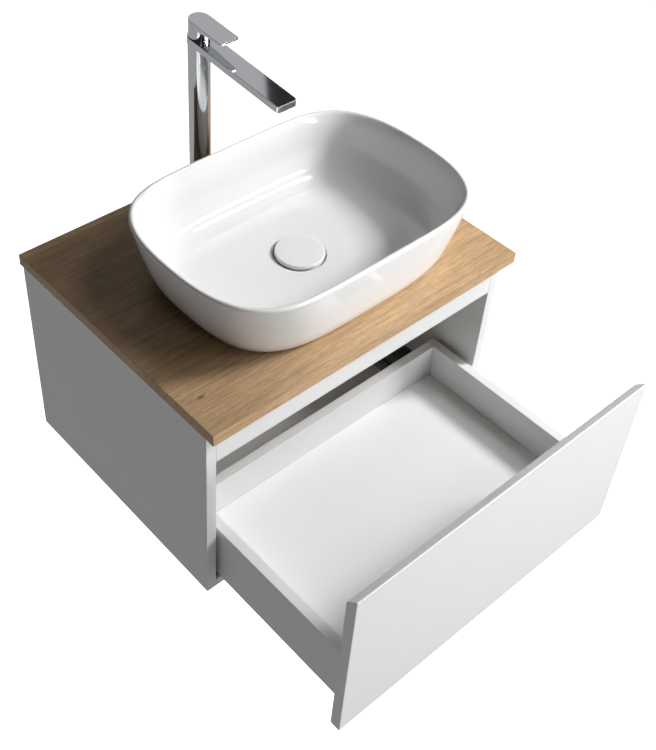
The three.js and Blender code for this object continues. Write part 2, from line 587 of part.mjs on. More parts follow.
function mixerFixings() {
  const place = (name, geometry, look) =>
    put(name, geometry, look, MIXER.centreX, SPOUT_AXIS_Y, TOP);
  const { shankRadius, shankWall, gasket, base } = MIXER;
  place('mixer_gasket', tube(MIXER.gasketRadius, shankRadius + 1, FIT, FIT + gasket), RUBBER);
  const ringBottom = 2 * FIT + gasket;
  place('mixer_base_ring', turned([
    [shankRadius + FIT, ringBottom], [MIXER.baseRadius, ringBottom],
    [MIXER.baseRadius, ringBottom + base - 2], [MIXER.baseRadius - 2, ringBottom + base],
    [shankRadius + FIT, ringBottom + base],
  ]), CHROME);
  const under = -WORKTOP.thickness;
  const shankTop = ringBottom + base - FIT;
  place('mixer_shank', tube(shankRadius, shankRadius - shankWall, under - MIXER.shankBelow, shankTop, 20),
    BRASS);
  const washerTop = under - FIT;
  const nutTop = washerTop - MIXER.washer - FIT;
  place('mixer_washer', tube(MIXER.washerRadius, shankRadius + FIT, washerTop - MIXER.washer, washerTop, 20),
    RUBBER);
  place('mixer_shank_nut', hexNut(MIXER.nutRadius, shankRadius + FIT, nutTop - MIXER.nut, nutTop), BRASS);
  for (const [side, sign] of [['hot', -1], ['cold', 1]]) {
    const tip = under - MIXER.inletLength;
    const { inletRadius, unionRadius } = MIXER;
    const bore = inletRadius - 1.5;
    const stub = turned([
      [bore, tip], [unionRadius, tip], [unionRadius, tip + MIXER.union],
      [inletRadius, tip + MIXER.union], [inletRadius, shankTop - 2], [bore, shankTop - 2],
    ], 14);
    put(`mixer_inlet_${side}`, stub, BRASS, MIXER.centreX + sign * MIXER.inletSpacing / 2,
      SPOUT_AXIS_Y, TOP);
  }
}

// Everything of the lever stands square on the sloping spout, in a frame of its own whose
// origin is on the column's axis, halfway through the spout.
function mixerLever() {
  const head = new THREE.Group();
  head.position.set(MIXER.centreX, SPOUT_AXIS_Y, TOP + MIXER.spoutHeight);
  head.rotation.x = SPOUT_TILT;
  vanity.add(head);
  const place = (name, geometry, look, z) => head.add(put(name, geometry, look, 0, 0, z));
  const face = MIXER.spoutThickness / 2;
  const seatFloor = face - LEVER.cartridgeDepth;
  place('mixer_cartridge', tube(LEVER.cartridgeRadius, 0, FIT, LEVER.cartridgeDepth + LEVER.cartridgeAbove),
    WHITE_PLASTIC, seatFloor);
  place('cartridge_nut', tube(LEVER.nutRadius, LEVER.cartridgeRadius + FIT,
    FIT - LEVER.nutDepth, LEVER.nutAbove), BRASS, face);

  // The hub's top is cut away behind, so that the paddle's round back can tip down.
  const hubBottom = face + LEVER.hubLift;
  const { hubHeight } = LEVER;
  const relief = new THREE.BoxGeometry(60, 40, 40).translate(0, 20, 20);
  relief.rotateX(-THREE.MathUtils.degToRad(LEVER.relief));
  relief.translate(0, LEVER.pivotBack - LEVER.reliefLead, hubHeight);
  const plugZ = hubHeight * LEVER.plugHeight;
  const sideways = (geometry, x) => geometry.rotateY(-Math.PI / 2).translate(x, 0, plugZ);
  const plugFloor = -LEVER.hubRadius + LEVER.plug;
  const plugHole = sideways(tube(LEVER.plugRadius + FIT, 0, 0, hubHeight, 12), plugFloor);
  const hub = tube(LEVER.hubRadius, LEVER.hubBore, 0, hubHeight);
  place('lever_hub', cut(hub, relief, plugHole), CHROME, hubBottom);
  const plug = sideways(tube(LEVER.plugRadius, 0, FIT, LEVER.plug, 12), plugFloor);
  place('lever_plug', plug, GREY_PLASTIC, hubBottom);

  const pivotZ = hubHeight - LEVER.pivotDrop;
  const pinHalf = Math.sqrt(LEVER.hubBore ** 2 - (LEVER.pivotBack + LEVER.pinRadius) ** 2) - FIT;
  const onPivot = (geometry) => geometry.rotateY(Math.PI / 2).translate(0, LEVER.pivotBack, pivotZ);
  place('lever_pivot_pin', onPivot(tube(LEVER.pinRadius, 0, -pinHalf, pinHalf, 12)), ZINC, hubBottom);

  // A tapered plate with a lug below it that turns on the pin.
  const underside = hubHeight + LEVER.paddleGap;
  const blank = new THREE.ExtrudeGeometry(tongue(LEVER.paddleRadius, LEVER.reach, LEVER.corner),
    { depth: LEVER.paddle, bevelEnabled: false, curveSegments: 12 }).translate(0, 0, underside);
  const slope = Math.atan2(LEVER.paddle - LEVER.paddleTip, LEVER.reach - LEVER.hubRadius);
  const taper = new THREE.BoxGeometry(60, 120, 40).translate(0, -60, -20);
  taper.rotateX(-slope).translate(0, -LEVER.hubRadius, underside);
  const lugHeight = underside - pivotZ + LEVER.lug;
  const lug = new THREE.BoxGeometry(LEVER.lugWidth, LEVER.lug, lugHeight);
  lug.translate(0, LEVER.pivotBack, pivotZ - LEVER.lug / 2 + lugHeight / 2);
  const pinBore = onPivot(tube(LEVER.pinRadius + LEVER.pinPlay, 0, -pinHalf, pinHalf, 12));
  place('lever_paddle', cut(joined(cut(blank, taper), lug), pinBore), CHROME, hubBottom);
  const stem = tube(LEVER.stemRadius, 0, underside - LEVER.stemLength, underside - FIT, 14);
  place('lever_stem', stem, ZINC, hubBottom);
}

carcass();
hangers();
worktopCleats();
worktop();
drawerBox();
drawerFront();
runners();
basin();
waste();
trap();
mixerBody();
mixerFixings();
mixerLever();

export default vanity;
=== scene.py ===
# %% [markdown]
# # A wall-hung vanity with a vessel basin
# The cabinet hangs on a wall and holds one wide drawer, here pulled open. On its oak-look worktop
# stand a glazed basin and a tall mixer. The sizes, the places and everything that moves come from
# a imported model, so this lesson only makes the surfaces fine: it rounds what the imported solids
# leave faceted, eases edges that they leave sharp, and gives each piece a real finish.

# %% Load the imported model
import json
import math

import bmesh
import bpy
from mathutils import Matrix, Vector


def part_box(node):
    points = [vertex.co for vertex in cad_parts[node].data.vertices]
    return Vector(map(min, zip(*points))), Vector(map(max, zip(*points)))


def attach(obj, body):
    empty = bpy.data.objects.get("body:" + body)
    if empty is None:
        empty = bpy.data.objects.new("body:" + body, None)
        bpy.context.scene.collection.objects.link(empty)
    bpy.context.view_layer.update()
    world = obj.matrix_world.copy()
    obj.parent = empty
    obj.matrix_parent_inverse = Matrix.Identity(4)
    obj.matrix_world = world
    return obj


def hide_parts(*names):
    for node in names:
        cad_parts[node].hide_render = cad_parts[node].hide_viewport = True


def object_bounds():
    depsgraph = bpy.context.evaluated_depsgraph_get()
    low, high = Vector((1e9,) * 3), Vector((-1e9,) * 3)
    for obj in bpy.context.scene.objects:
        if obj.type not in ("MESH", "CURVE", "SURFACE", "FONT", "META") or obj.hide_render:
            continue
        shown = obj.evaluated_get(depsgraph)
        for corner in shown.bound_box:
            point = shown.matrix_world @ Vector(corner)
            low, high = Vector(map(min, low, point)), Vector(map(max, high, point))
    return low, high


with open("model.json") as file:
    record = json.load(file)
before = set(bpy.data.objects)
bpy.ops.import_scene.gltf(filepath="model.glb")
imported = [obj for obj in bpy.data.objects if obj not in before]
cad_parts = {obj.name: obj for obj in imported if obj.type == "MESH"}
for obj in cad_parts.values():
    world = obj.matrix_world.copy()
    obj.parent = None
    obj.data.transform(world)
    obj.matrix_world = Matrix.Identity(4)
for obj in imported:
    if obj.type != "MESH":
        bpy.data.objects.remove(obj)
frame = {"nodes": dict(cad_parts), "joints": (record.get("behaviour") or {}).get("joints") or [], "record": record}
CAD_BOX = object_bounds()
MM = 0.001

record = frame["record"]
BODY_OF = {node: body for body, nodes in record["behaviour"]["bodies"].items() for node in nodes}
SLOT_OF = {row["node"]: row["material_slot"] for row in record["subparts"]}
JOINT = {joint["name"]: joint for joint in frame["joints"]}

# %% [markdown]
# ## The camera
# A product picture of a low cabinet is taken from the front left and well above, so that the
# worktop, the bowl and the inside of the drawer all show. A camera is aimed with three angles:
# its heading round the object, how far it looks down, and a little roll. They make the camera's
# own axes, and the axes make its matrix.

# %% Camera
CAMERA_PLACE = Vector((-0.9254, -1.2560, 1.2130))
CAMERA_HEADING = math.radians(-43.42)
CAMERA_DROP = math.radians(43.10)
CAMERA_ROLL = math.radians(3.25)
CAMERA_LENS = 56.2
CAMERA_SHIFT = (0.0553, -0.0709)


def camera_turn(heading, drop, roll):
    """The camera's rotation, for a heading (0 looks along +Y) and a drop below the horizon."""
    back = Vector((math.sin(heading) * math.cos(drop), -math.cos(heading) * math.cos(drop),
                   math.sin(drop)))
    level = (-back).cross(Vector((0, 0, 1))).normalized()
    upright = level.cross(-back)
    right = level * math.cos(roll) + upright * math.sin(roll)
    up = upright * math.cos(roll) - level * math.sin(roll)
    return Matrix((right, up, back)).transposed().to_4x4()


camera = bpy.data.objects.new("camera", bpy.data.cameras.new("camera"))
bpy.context.scene.collection.objects.link(camera)
camera.matrix_world = Matrix.Translation(CAMERA_PLACE) @ camera_turn(
    CAMERA_HEADING, CAMERA_DROP, CAMERA_ROLL)
camera.data.lens = CAMERA_LENS
camera.data.shift_x, camera.data.shift_y = CAMERA_SHIFT
bpy.context.scene.camera = camera
print("the camera stands", round(CAMERA_PLACE.length, 2), "m from the origin")

# %% [markdown]
# ## Helpers for nodes
# Finishes and surroundings are small trees of nodes. One helper turns a painter's hex colour into
# the linear numbers that a shader wants, one adds a node with its settings and links, and the rest
# are the patterns that come up again and again.

# %% Colour and node helpers
def linear(code):
    """A hex colour as the linear red, green, blue and alpha that a shader uses."""
    shares = [int(code[at:at + 2], 16) / 255 for at in (1, 3, 5)]
    lit = [s / 12.92 if s <= 0.04045 else ((s + 0.055) / 1.055) ** 2.4 for s in shares]
    return (*lit, 1.0)


def add(tree, kind, inputs=None, **settings):
    """Adds one node. Inputs are values or other nodes' sockets; settings are its properties."""
    node = tree.nodes.new("ShaderNode" + kind)
    for name, value in settings.items():
        setattr(node, name, value)
    for socket, value in (inputs or {}).items():
        if isinstance(value, bpy.types.NodeSocket):
            tree.links.new(value, node.inputs[socket])
        else:
            node.inputs[socket].default_value = value
    return node


def new_finish(name, colour, roughness, **sockets):
    """A new material: its node tree, its shader and the object's own coordinates."""
    material = bpy.data.materials.new(name)
    material.use_nodes = True
    tree = material.node_tree
    shader = tree.nodes["Principled BSDF"]
    values = {"Base Color": linear(colour), "Roughness": roughness, **sockets}
    for socket, value in values.items():
        shader.inputs[socket].default_value = value
    place = add(tree, "TexCoord").outputs["Object"]
    return material, tree, shader, place


def spread(tree, value, low, high):
    """Stretches a 0 to 1 value over a chosen range."""
    return add(tree, "MapRange", {0: value, 3: low, 4: high}).outputs[0]


def grain(tree, place, size, across=(1, 1, 1), detail=2.0):
    """Noise whose spots are about size metres wide, stretched by across along each axis."""
    scaled = add(tree, "VectorMath", {0: place, 1: [s / size for s in across]},
                 operation="MULTIPLY").outputs[0]
    return add(tree, "TexNoise", {"Vector": scaled, "Scale": 1.0, "Detail": detail}).outputs[0]


def tint(tree, shader, colour, share):
    """Makes the base colour brighter and darker by a pattern."""
    tinted = add(tree, "VectorMath", {0: linear(colour)[:3], 3: share}, operation="SCALE")
    tree.links.new(tinted.outputs[0], shader.inputs["Base Color"])


def raise_surface(tree, shader, height, depth, strength=1.0):
    """Bump: a 0 to 1 height that stands for depth metres."""
    bump = add(tree, "Bump", {"Height": height, "Distance": depth, "Strength": strength})
    tree.links.new(bump.outputs[0], shader.inputs["Normal"])


greys = ("#000000", "#808080", "#ffffff")
print("black, mid grey and white:", [round(linear(code)[0], 3) for code in greys])

# %% [markdown]
# ## Floor and light
# The floor is a plain white sheet half a metre below the cabinet. It glows evenly and is left out
# of bounced light and reflections, so the picture's ground stays clean. One softbox on the right
# does most of the work, which leaves the cabinet's left side and the worktop behind the basin in
# shade. Two weaker ones soften its shadows, and a low one fills the drawer front and hardly
# touches what lies flat. A grey card behind is there to be mirrored in the top of the spout. A
# pale ground lights everything a little from below, and from above comes almost nothing.

# %% Floor, lamps and surroundings
FLOOR_DROP = 0.5
FLOOR_SIZE = 40.0
WHITE = (1, 1, 1, 1)
GROUND = 0.4
SKY = 0.03
HORIZON = {"From Min": 0.02, "From Max": -0.04}
AIM = Vector((0.0, -0.35, -0.05))
LAMP_DISTANCE = 2.6
CARD_DISTANCE = 3.0

bpy.ops.object.select_all(action="DESELECT")
bpy.ops.mesh.primitive_plane_add(size=FLOOR_SIZE, location=(0, 0, CAD_BOX[0].z - FLOOR_DROP))
floor = bpy.context.object
floor.name = "floor"
floor_paint = bpy.data.materials.new("floor_white_sheet")
floor_paint.use_nodes = True
floor_shader = floor_paint.node_tree.nodes["Principled BSDF"]
floor_shader.inputs["Base Color"].default_value = (0.9, 0.9, 0.9, 1)
floor_shader.inputs["Emission Color"].default_value = WHITE
floor_shader.inputs["Emission Strength"].default_value = 1.0
floor.data.materials.append(floor_paint)
floor.visible_diffuse = False
floor.visible_glossy = False
floor.visible_shadow = False


def softbox(name, heading, height, size, power, distance=LAMP_DISTANCE):
    """A lamp that looks at the middle of the object, from a heading and a height in degrees."""
    lamp = bpy.data.lights.new(name, "AREA")
    lamp.shape = "RECTANGLE"
    lamp.size, lamp.size_y = size
    lamp.energy = power
    box = bpy.data.objects.new(name, lamp)
    bpy.context.scene.collection.objects.link(box)
    turn, rise = math.radians(heading), math.radians(height)
    out = Vector((math.sin(turn) * math.cos(rise), -math.cos(turn) * math.cos(rise),
                  math.sin(rise)))
    box.location = AIM + out * distance
    box.rotation_euler = out.to_track_quat("Z", "Y").to_euler()
    box.visible_camera = False
    return box


softbox("key_softbox", heading=60, height=38, size=(0.5, 0.5), power=60)
softbox("high_softbox", heading=62, height=62, size=(0.6, 0.6), power=8)
softbox("front_softbox", heading=35, height=42, size=(0.8, 0.5), power=12)
softbox("low_softbox", heading=14, height=6, size=(0.8, 0.6), power=26)
softbox("grey_card", heading=155.6, height=40, size=(1.49, 1.7), power=3.7, distance=CARD_DISTANCE)

world = bpy.data.worlds.new("studio")
bpy.context.scene.world = world
world.use_nodes = True
sky = world.node_tree
sky.nodes.clear()
direction = add(sky, "TexCoord").outputs["Generated"]
upward = add(sky, "SeparateXYZ", {0: direction}).outputs["Z"]
below = add(sky, "MapRange", {"Value": upward, **HORIZON, "To Min": SKY, "To Max": GROUND})
seen = add(sky, "Background", {"Color": WHITE})
felt = add(sky, "Background", {"Color": WHITE, "Strength": below.outputs[0]})
ray = add(sky, "LightPath").outputs["Is Camera Ray"]
choose = add(sky, "MixShader", {0: ray, 1: felt.outputs[0], 2: seen.outputs[0]})
add(sky, "OutputWorld", {"Surface": choose.outputs[0]})
bpy.context.scene.view_settings.view_transform = "Standard"
print("4 softboxes and a grey card, the ground at", GROUND, "and the sky at", SKY)

# %% [markdown]
# ## Finishes
# Every finish here is one Principled shader with a pattern in it. Patterns read Object coordinates
# in metres, so a grain of one millimetre is a scale of one thousand.
#
# ### Oak-print laminate
# The worktop is chipboard with a printed, lightly textured oak film, so it is matt and even. Real
# oak has three things that the eye looks for: slow bands of growth that wander along the board,
# fine fibres between them, and short dark pores. All three run along X, so each pattern is
# stretched that way. Two small knots push the growth lines aside. Real pores are 0.3 mm wide, too
# fine to show here, so they are drawn at 0.9 mm. Each pattern's size is its width across the
# grain.

# %% Oak finish
BAND_SPACING = 15 * MM
BAND_DRIFT = 5.0
PORE_WIDTH = 0.9 * MM
FIBRE_WIDTH = 2.2 * MM
HAIR_WIDTH = 1.1 * MM
FADE_WIDTH = 40 * MM
DRIFT_WIDTH = 75 * MM
BOARD_WIDTH = 70 * MM
EARLY_WOOD, LATE_WOOD, PORE_COLOUR, KNOT_COLOUR = "#bc9c76", "#a58562", "#74573a", "#54391f"
RING_STOPS = ((0.45, 0.12), (0.86, 0.9), (0.92, 1.0))
KNOT_REACH = 7
KNOT_PUSH = 0.8
KNOTS = [(Vector((-0.2682, -0.4034, 0.0)), 3.0 * MM), (Vector((0.168, -0.052, 0.0)), 2.4 * MM)]


def oak_laminate():
    """Growth lines bent round the knots, then fibres, hairs and boards over them, then pores."""
    material, tree, shader, place = new_finish("oak_print_laminate", "#b1936f", 0.5)
    warped = place
    cores = []
    for centre, size in KNOTS:
        offset = add(tree, "VectorMath", {0: place, 1: centre}, operation="SUBTRACT")
        squeezed = add(tree, "VectorMath", {0: offset.outputs[0], 1: (0.4, 1, 0)},
                       operation="MULTIPLY")
        away = add(tree, "VectorMath", {0: squeezed.outputs[0]},
                   operation="LENGTH").outputs["Value"]
        near = add(tree, "MapRange", {0: away, 1: 0.0, 2: size * KNOT_REACH, 3: 1.0, 4: 0.0},
                   interpolation_type="SMOOTHERSTEP").outputs[0]
        push = add(tree, "VectorMath", {0: squeezed.outputs[0], 3: near}, operation="SCALE")
        pushed = add(tree, "VectorMath", {0: push.outputs[0], 1: (0, -KNOT_PUSH, 0)},
                     operation="MULTIPLY")
        warped = add(tree, "VectorMath", {0: warped, 1: pushed.outputs[0]},
                     operation="ADD").outputs[0]
        cores.append(add(tree, "MapRange", {0: away, 1: size * 0.2, 2: size * 1.4, 3: 1.0, 4: 0.0},
                         interpolation_type="SMOOTHSTEP").outputs[0])
    across = add(tree, "VectorMath", {0: warped, 1: (0, 1 / BAND_SPACING, 0.4 / BAND_SPACING)},
                 operation="DOT_PRODUCT").outputs["Value"]
    drift = grain(tree, warped, DRIFT_WIDTH, (0.13, 1, 0.5), 2.0)
    growth = add(tree, "Math", {0: drift, 1: BAND_DRIFT, 2: across}, operation="MULTIPLY_ADD")
    ring = add(tree, "Math", {0: growth.outputs[0]}, operation="FRACT").outputs[0]
    fade = grain(tree, warped, FADE_WIDTH, (0.12, 1, 1), 1.0)
    fibres = grain(tree, warped, FIBRE_WIDTH, (0.03, 1, 1), 3.0)
    hairs = grain(tree, warped, HAIR_WIDTH, (0.06, 1, 1), 2.0)
    pores = grain(tree, warped, PORE_WIDTH, (0.09, 1, 1), 1.0)
    dashes = add(tree, "MapRange", {0: pores, 1: 0.62, 2: 0.74}).outputs[0]
    boards = grain(tree, place, BOARD_WIDTH, (0.2, 1, 1), 2.0)

    late_wood = add(tree, "ValToRGB", {0: ring})
    stops = late_wood.color_ramp.elements
    stops[0].color = (0, 0, 0, 1)
    stops[1].color = (0, 0, 0, 1)
    for where, shade in RING_STOPS:
        stops.new(where).color = (shade, shade, shade, 1)
    line = add(tree, "Math", {0: late_wood.outputs[0], 1: spread(tree, fade, -0.2, 1.1)},
               operation="MULTIPLY", use_clamp=True).outputs[0]
    colour = add(tree, "MixRGB", {0: line, 1: linear(EARLY_WOOD), 2: linear(LATE_WOOD)}).outputs[0]
    for pattern, reach in ((fibres, 0.42), (hairs, 0.4), (boards, 0.3)):
        share = spread(tree, pattern, 1 - reach, 1 + reach)
        colour = add(tree, "VectorMath", {0: colour, 3: share}, operation="SCALE").outputs[0]
    colour = add(tree, "MixRGB", {0: spread(tree, dashes, 0.0, 0.5), 1: colour,
                                  2: linear(PORE_COLOUR)}).outputs[0]
    for core in cores:
        colour = add(tree, "MixRGB", {0: spread(tree, core, 0.0, 0.75), 1: colour,
                                      2: linear(KNOT_COLOUR)}).outputs[0]
    tree.links.new(colour, shader.inputs["Base Color"])
    tree.links.new(spread(tree, fibres, 0.42, 0.58), shader.inputs["Roughness"])
    relief = add(tree, "Math", {0: fibres, 1: dashes}, operation="SUBTRACT")
    raise_surface(tree, shader, relief.outputs[0], 0.05 * MM)
    return material


print("growth bands every", BAND_SPACING / MM, "mm")

# %% [markdown]
# ### White boards, lacquer and plastics
# The carcass and the drawer box are melamine-faced board: satin white with a faint pearl texture
# pressed into it. The drawer front is sprayed lacquer, glossier, with the slight orange peel that
# a spray gun leaves. The trap is white polypropylene, and the small fittings are grey moulded
# plastic.

# %% White and grey finishes
def pressed(name, colour, roughness, grit, depth):
    """A plain-coloured surface with fine relief and a hint of unevenness in colour and gloss."""
    material, tree, shader, place = new_finish(name, colour, roughness)
    relief = grain(tree, place, grit)
    patches = grain(tree, place, 70 * MM)
    tint(tree, shader, colour, spread(tree, patches, 0.985, 1.0))
    uneven = spread(tree, patches, roughness * 0.95, roughness * 1.05)
    tree.links.new(uneven, shader.inputs["Roughness"])
    raise_surface(tree, shader, relief, depth)
    return material


PRESSED = {
    "white_board": ("white_melamine_board", "#eceded", 0.42, 1.6 * MM, 0.012 * MM),
    "white_lacquer": ("white_sprayed_lacquer", "#eeeeee", 0.34, 2.5 * MM, 0.003 * MM),
    "white_plastic": ("white_polypropylene", "#e6e7e3", 0.38, 0.9 * MM, 0.02 * MM),
    "grey_plastic": ("grey_moulded_plastic", "#6f7378", 0.5, 0.8 * MM, 0.03 * MM),
    "black_rubber": ("black_moulded_rubber", "#242427", 0.78, 0.7 * MM, 0.05 * MM),
}
print("board grit 1.6 mm, lacquer orange peel 2.5 mm")

# %% [markdown]
# ### Glazed vitreous china
# Glaze is a thin layer of glass over a white body, so it is smooth, bright and reflects like
# glass, with an index near 1.52. It flows a little as it is fired, which leaves very long,
# shallow waves that bend a reflected lamp.

# %% Glaze finish
def glazed_china():
    material, tree, shader, place = new_finish("white_glazed_china", "#f0f0ef", 0.07, IOR=1.52)
    waves = grain(tree, place, 55 * MM, detail=1.0)
    tree.links.new(spread(tree, waves, 0.05, 0.1), shader.inputs["Roughness"])
    raise_surface(tree, shader, waves, 0.12 * MM)
    return material


print("glaze waves every 55 mm")

# %% [markdown]
# ### Metals
# Chrome plate is a mirror, slightly bluish, with only faint polishing waves. The hidden steel is
# zinc-plated sheet, dull and drawn lengthwise by the rollers that formed it. The nuts and the
# shank are bare turned brass, with fine rings left by the lathe. The last two differ only in
# numbers, so one function makes both.

# %% Metal finishes
def chrome_plate():
    material, tree, shader, place = new_finish("polished_chrome_plate", "#dcdee1", 0.05,
                                               Metallic=1.0)
    film = grain(tree, place, 18 * MM)
    tree.links.new(spread(tree, film, 0.03, 0.08), shader.inputs["Roughness"])
    raise_surface(tree, shader, film, 0.004 * MM)
    return material


def worked_metal(name, colour, roughness, stroke, stretch, detail, blotch, stain, gloss, depth):
    """Bare metal with fine strokes left by its making, and slow blotches in its colour."""
    material, tree, shader, place = new_finish(name, colour, roughness, Metallic=1.0)
    strokes = grain(tree, place, stroke, stretch, detail)
    tint(tree, shader, colour, spread(tree, grain(tree, place, blotch), *stain))
    tree.links.new(spread(tree, strokes, *gloss), shader.inputs["Roughness"])
    raise_surface(tree, shader, strokes, depth)
    return material


def zinc_steel():
    return worked_metal("zinc_plated_sheet_steel", "#a9acae", 0.34, stroke=1.2 * MM,
                        stretch=(1, 0.02, 1), detail=3.0, blotch=14 * MM, stain=(0.86, 1.1),
                        gloss=(0.26, 0.44), depth=0.02 * MM)


def turned_brass():
    return worked_metal("turned_brass", "#b3924f", 0.32, stroke=0.8 * MM,
                        stretch=(0.02, 0.02, 1), detail=2.0, blotch=9 * MM, stain=(0.8, 1.08),
                        gloss=(0.24, 0.42), depth=0.03 * MM)


FINISH = {
    "oak_laminate": oak_laminate(), "white_glaze": glazed_china(), "chrome": chrome_plate(),
    "zinc_plated_steel": zinc_steel(), "brass": turned_brass(),
    **{slot: pressed(*values) for slot, values in PRESSED.items()},
}
for node, packed in frame["nodes"].items():
    packed.data.materials.clear()
    packed.data.materials.append(FINISH[SLOT_OF[node]])
print(len(FINISH), "finishes on", len(frame["nodes"]), "nodes")

# %% [markdown]
# ## Tools for the bench
# Three ways of making cover nearly everything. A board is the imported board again, with its
# triangles merged and its edges eased. A round piece is raised ring by ring: a disc is drawn at
# its first radius, then its top face is extruded and scaled, up the outside and down the inside.
# A plate starts as a cube whose upright edges are rounded. Each piece ends with a bevel, because
# no made edge is perfectly sharp, and a thin line of light along an edge is what makes it look
# solid.

# %% Bench helpers
SLIVER = 0.01 * MM
RIB_SIDES = 96
RIB_BAND = 1.5 * MM
RIB_DEPTH = 1.0


def fresh():
    """Deselects everything, so that an operator acts only on what is made next."""
    bpy.ops.object.select_all(action="DESELECT")


def hold(piece):
    """Selects one piece and makes it the active one."""
    fresh()
    piece.select_set(True)
    bpy.context.view_layer.objects.active = piece


def choose_parts(piece, kind, wanted):
    """In edit mode, selects the faces, edges or vertices for which wanted says true."""
    bpy.ops.mesh.select_all(action="DESELECT")
    bpy.ops.mesh.select_mode(type=kind)
    mesh = bmesh.from_edit_mesh(piece.data)
    parts = {"FACE": mesh.faces, "EDGE": mesh.edges, "VERT": mesh.verts}[kind]
    for part in parts:
        part.select_set(wanted(part))
    mesh.select_flush_mode()
    bmesh.update_edit_mesh(piece.data)


def apply_modifier(piece, kind, **settings):
    """Adds one modifier with its settings and applies it."""
    hold(piece)
    modifier = piece.modifiers.new(kind.lower(), kind)
    for name, value in settings.items():
        setattr(modifier, name, value)
    bpy.ops.object.modifier_apply(modifier=modifier.name)


def smooth(piece, angle=40):
    """Smooth shading that keeps edges sharper than an angle, and keeps large faces flat."""
    hold(piece)
    bpy.ops.object.shade_smooth_by_angle(angle=math.radians(angle))
    apply_modifier(piece, "WEIGHTED_NORMAL", keep_sharp=True)


def ease(piece, radius, segments=3):
    """Rounds every sharp edge with a radius in millimetres."""
    apply_modifier(piece, "BEVEL", width=radius * MM, segments=segments, limit_method="ANGLE",
                   angle_limit=math.radians(30))
    smooth(piece)


def settle(piece, place, tilt=0.0, lean=0.0):
    """Turns a finished piece about X or Y and moves it to its place, its object at the origin."""
    hold(piece)
    piece.rotation_euler = (tilt, lean, 0)
    piece.location = place
    bpy.ops.object.transform_apply(location=True, rotation=True, scale=True)


def open_merged(piece):
    """Goes into edit mode with everything selected, old normals dropped and doubles merged."""
    hold(piece)
    bpy.ops.mesh.customdata_custom_splitnormals_clear()
    bpy.ops.object.mode_set(mode="EDIT")
    bpy.ops.mesh.select_all(action="SELECT")
    bpy.ops.mesh.remove_doubles(threshold=SLIVER)


def block(name, size, middle):
    """A cube drawn out to a size about its middle, both in metres."""
    fresh()
    bpy.ops.mesh.primitive_cube_add(size=1)
    piece = bpy.context.object
    piece.name = name
    bpy.ops.object.mode_set(mode="EDIT")
    bpy.ops.mesh.select_all(action="SELECT")
    bpy.ops.transform.resize(value=size, center_override=(0, 0, 0))
    bpy.ops.transform.translate(value=middle)
    bpy.ops.object.mode_set(mode="OBJECT")
    return piece


def join_and_cut(piece, tools, angle=30):
    """Adds or cuts away one solid after another, clears the slivers it leaves, and smooths."""
    for operation, tool in tools:
        apply_modifier(piece, "BOOLEAN", operation=operation, object=tool, solver="EXACT")
        bpy.data.objects.remove(tool)
    open_merged(piece)
    bpy.ops.mesh.dissolve_degenerate(threshold=SLIVER)
    bpy.ops.mesh.dissolve_limited(angle_limit=math.radians(0.2))
    bpy.ops.object.mode_set(mode="OBJECT")
    smooth(piece, angle)


def stand_for(piece, *nodes):
    """The piece takes the place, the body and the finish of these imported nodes."""
    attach(piece, BODY_OF[nodes[0]])
    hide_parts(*nodes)
    piece.data.materials.clear()
    piece.data.materials.append(FINISH[SLOT_OF[nodes[0]]])
    return piece


def eased_copy(node, radius, segments=3, shape=None):
    """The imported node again, with its triangles merged into flat faces and its edges rounded.
    Shape is what else is done to it in edit mode before the rounding."""
    piece = bpy.data.objects.new(f"{node}_eased", frame["nodes"][node].data.copy())
    bpy.context.scene.collection.objects.link(piece)
    open_merged(piece)
    bpy.ops.mesh.dissolve_limited(angle_limit=math.radians(1))
    if shape:
        shape(piece)
    bpy.ops.object.mode_set(mode="OBJECT")
    ease(piece, radius, segments)
    return stand_for(piece, node)


def raise_rings(name, rings, sides=64, pointed=False, through=False):
    """A round piece about Z from (radius, height) pairs in millimetres, drawn from the bottom
    middle outwards and up. Pointed closes the last ring to a point. Through opens both ends into
    a pipe."""
    fresh()
    radius, height = rings[0]
    bpy.ops.mesh.primitive_circle_add(vertices=sides, radius=radius * MM, fill_type="NGON",
                                      location=(0, 0, height * MM))
    piece = bpy.context.object
    piece.name = name
    bpy.ops.object.transform_apply(location=True)
    bpy.ops.object.mode_set(mode="EDIT")
    bpy.ops.mesh.select_mode(type="FACE")
    bpy.ops.mesh.select_all(action="SELECT")
    for wide, high in rings[1:]:
        bpy.ops.mesh.extrude_region_move(
            TRANSFORM_OT_translate={"value": (0, 0, (high - height) * MM)})
        share = wide / radius
        bpy.ops.transform.resize(value=(share, share, 1), center_override=(0, 0, high * MM))
        radius, height = wide, high
    if pointed:
        bpy.ops.mesh.merge(type="CENTER")
    if through:
        choose_parts(piece, "FACE", lambda face: len(face.verts) > 4)
        bpy.ops.mesh.delete(type="ONLY_FACE")
        choose_parts(piece, "EDGE", lambda edge: edge.is_boundary)
        bpy.ops.mesh.bridge_edge_loops()
    bpy.ops.mesh.select_all(action="SELECT")
    bpy.ops.mesh.normals_make_consistent(inside=False)
    bpy.ops.object.mode_set(mode="OBJECT")
    return piece


def pipe_rings(outer, inner, bottom, top):
    """The rings of a plain pipe or washer, for raise_rings with through=True."""
    return [(outer, bottom), (outer, top), (inner, top), (inner, bottom)]


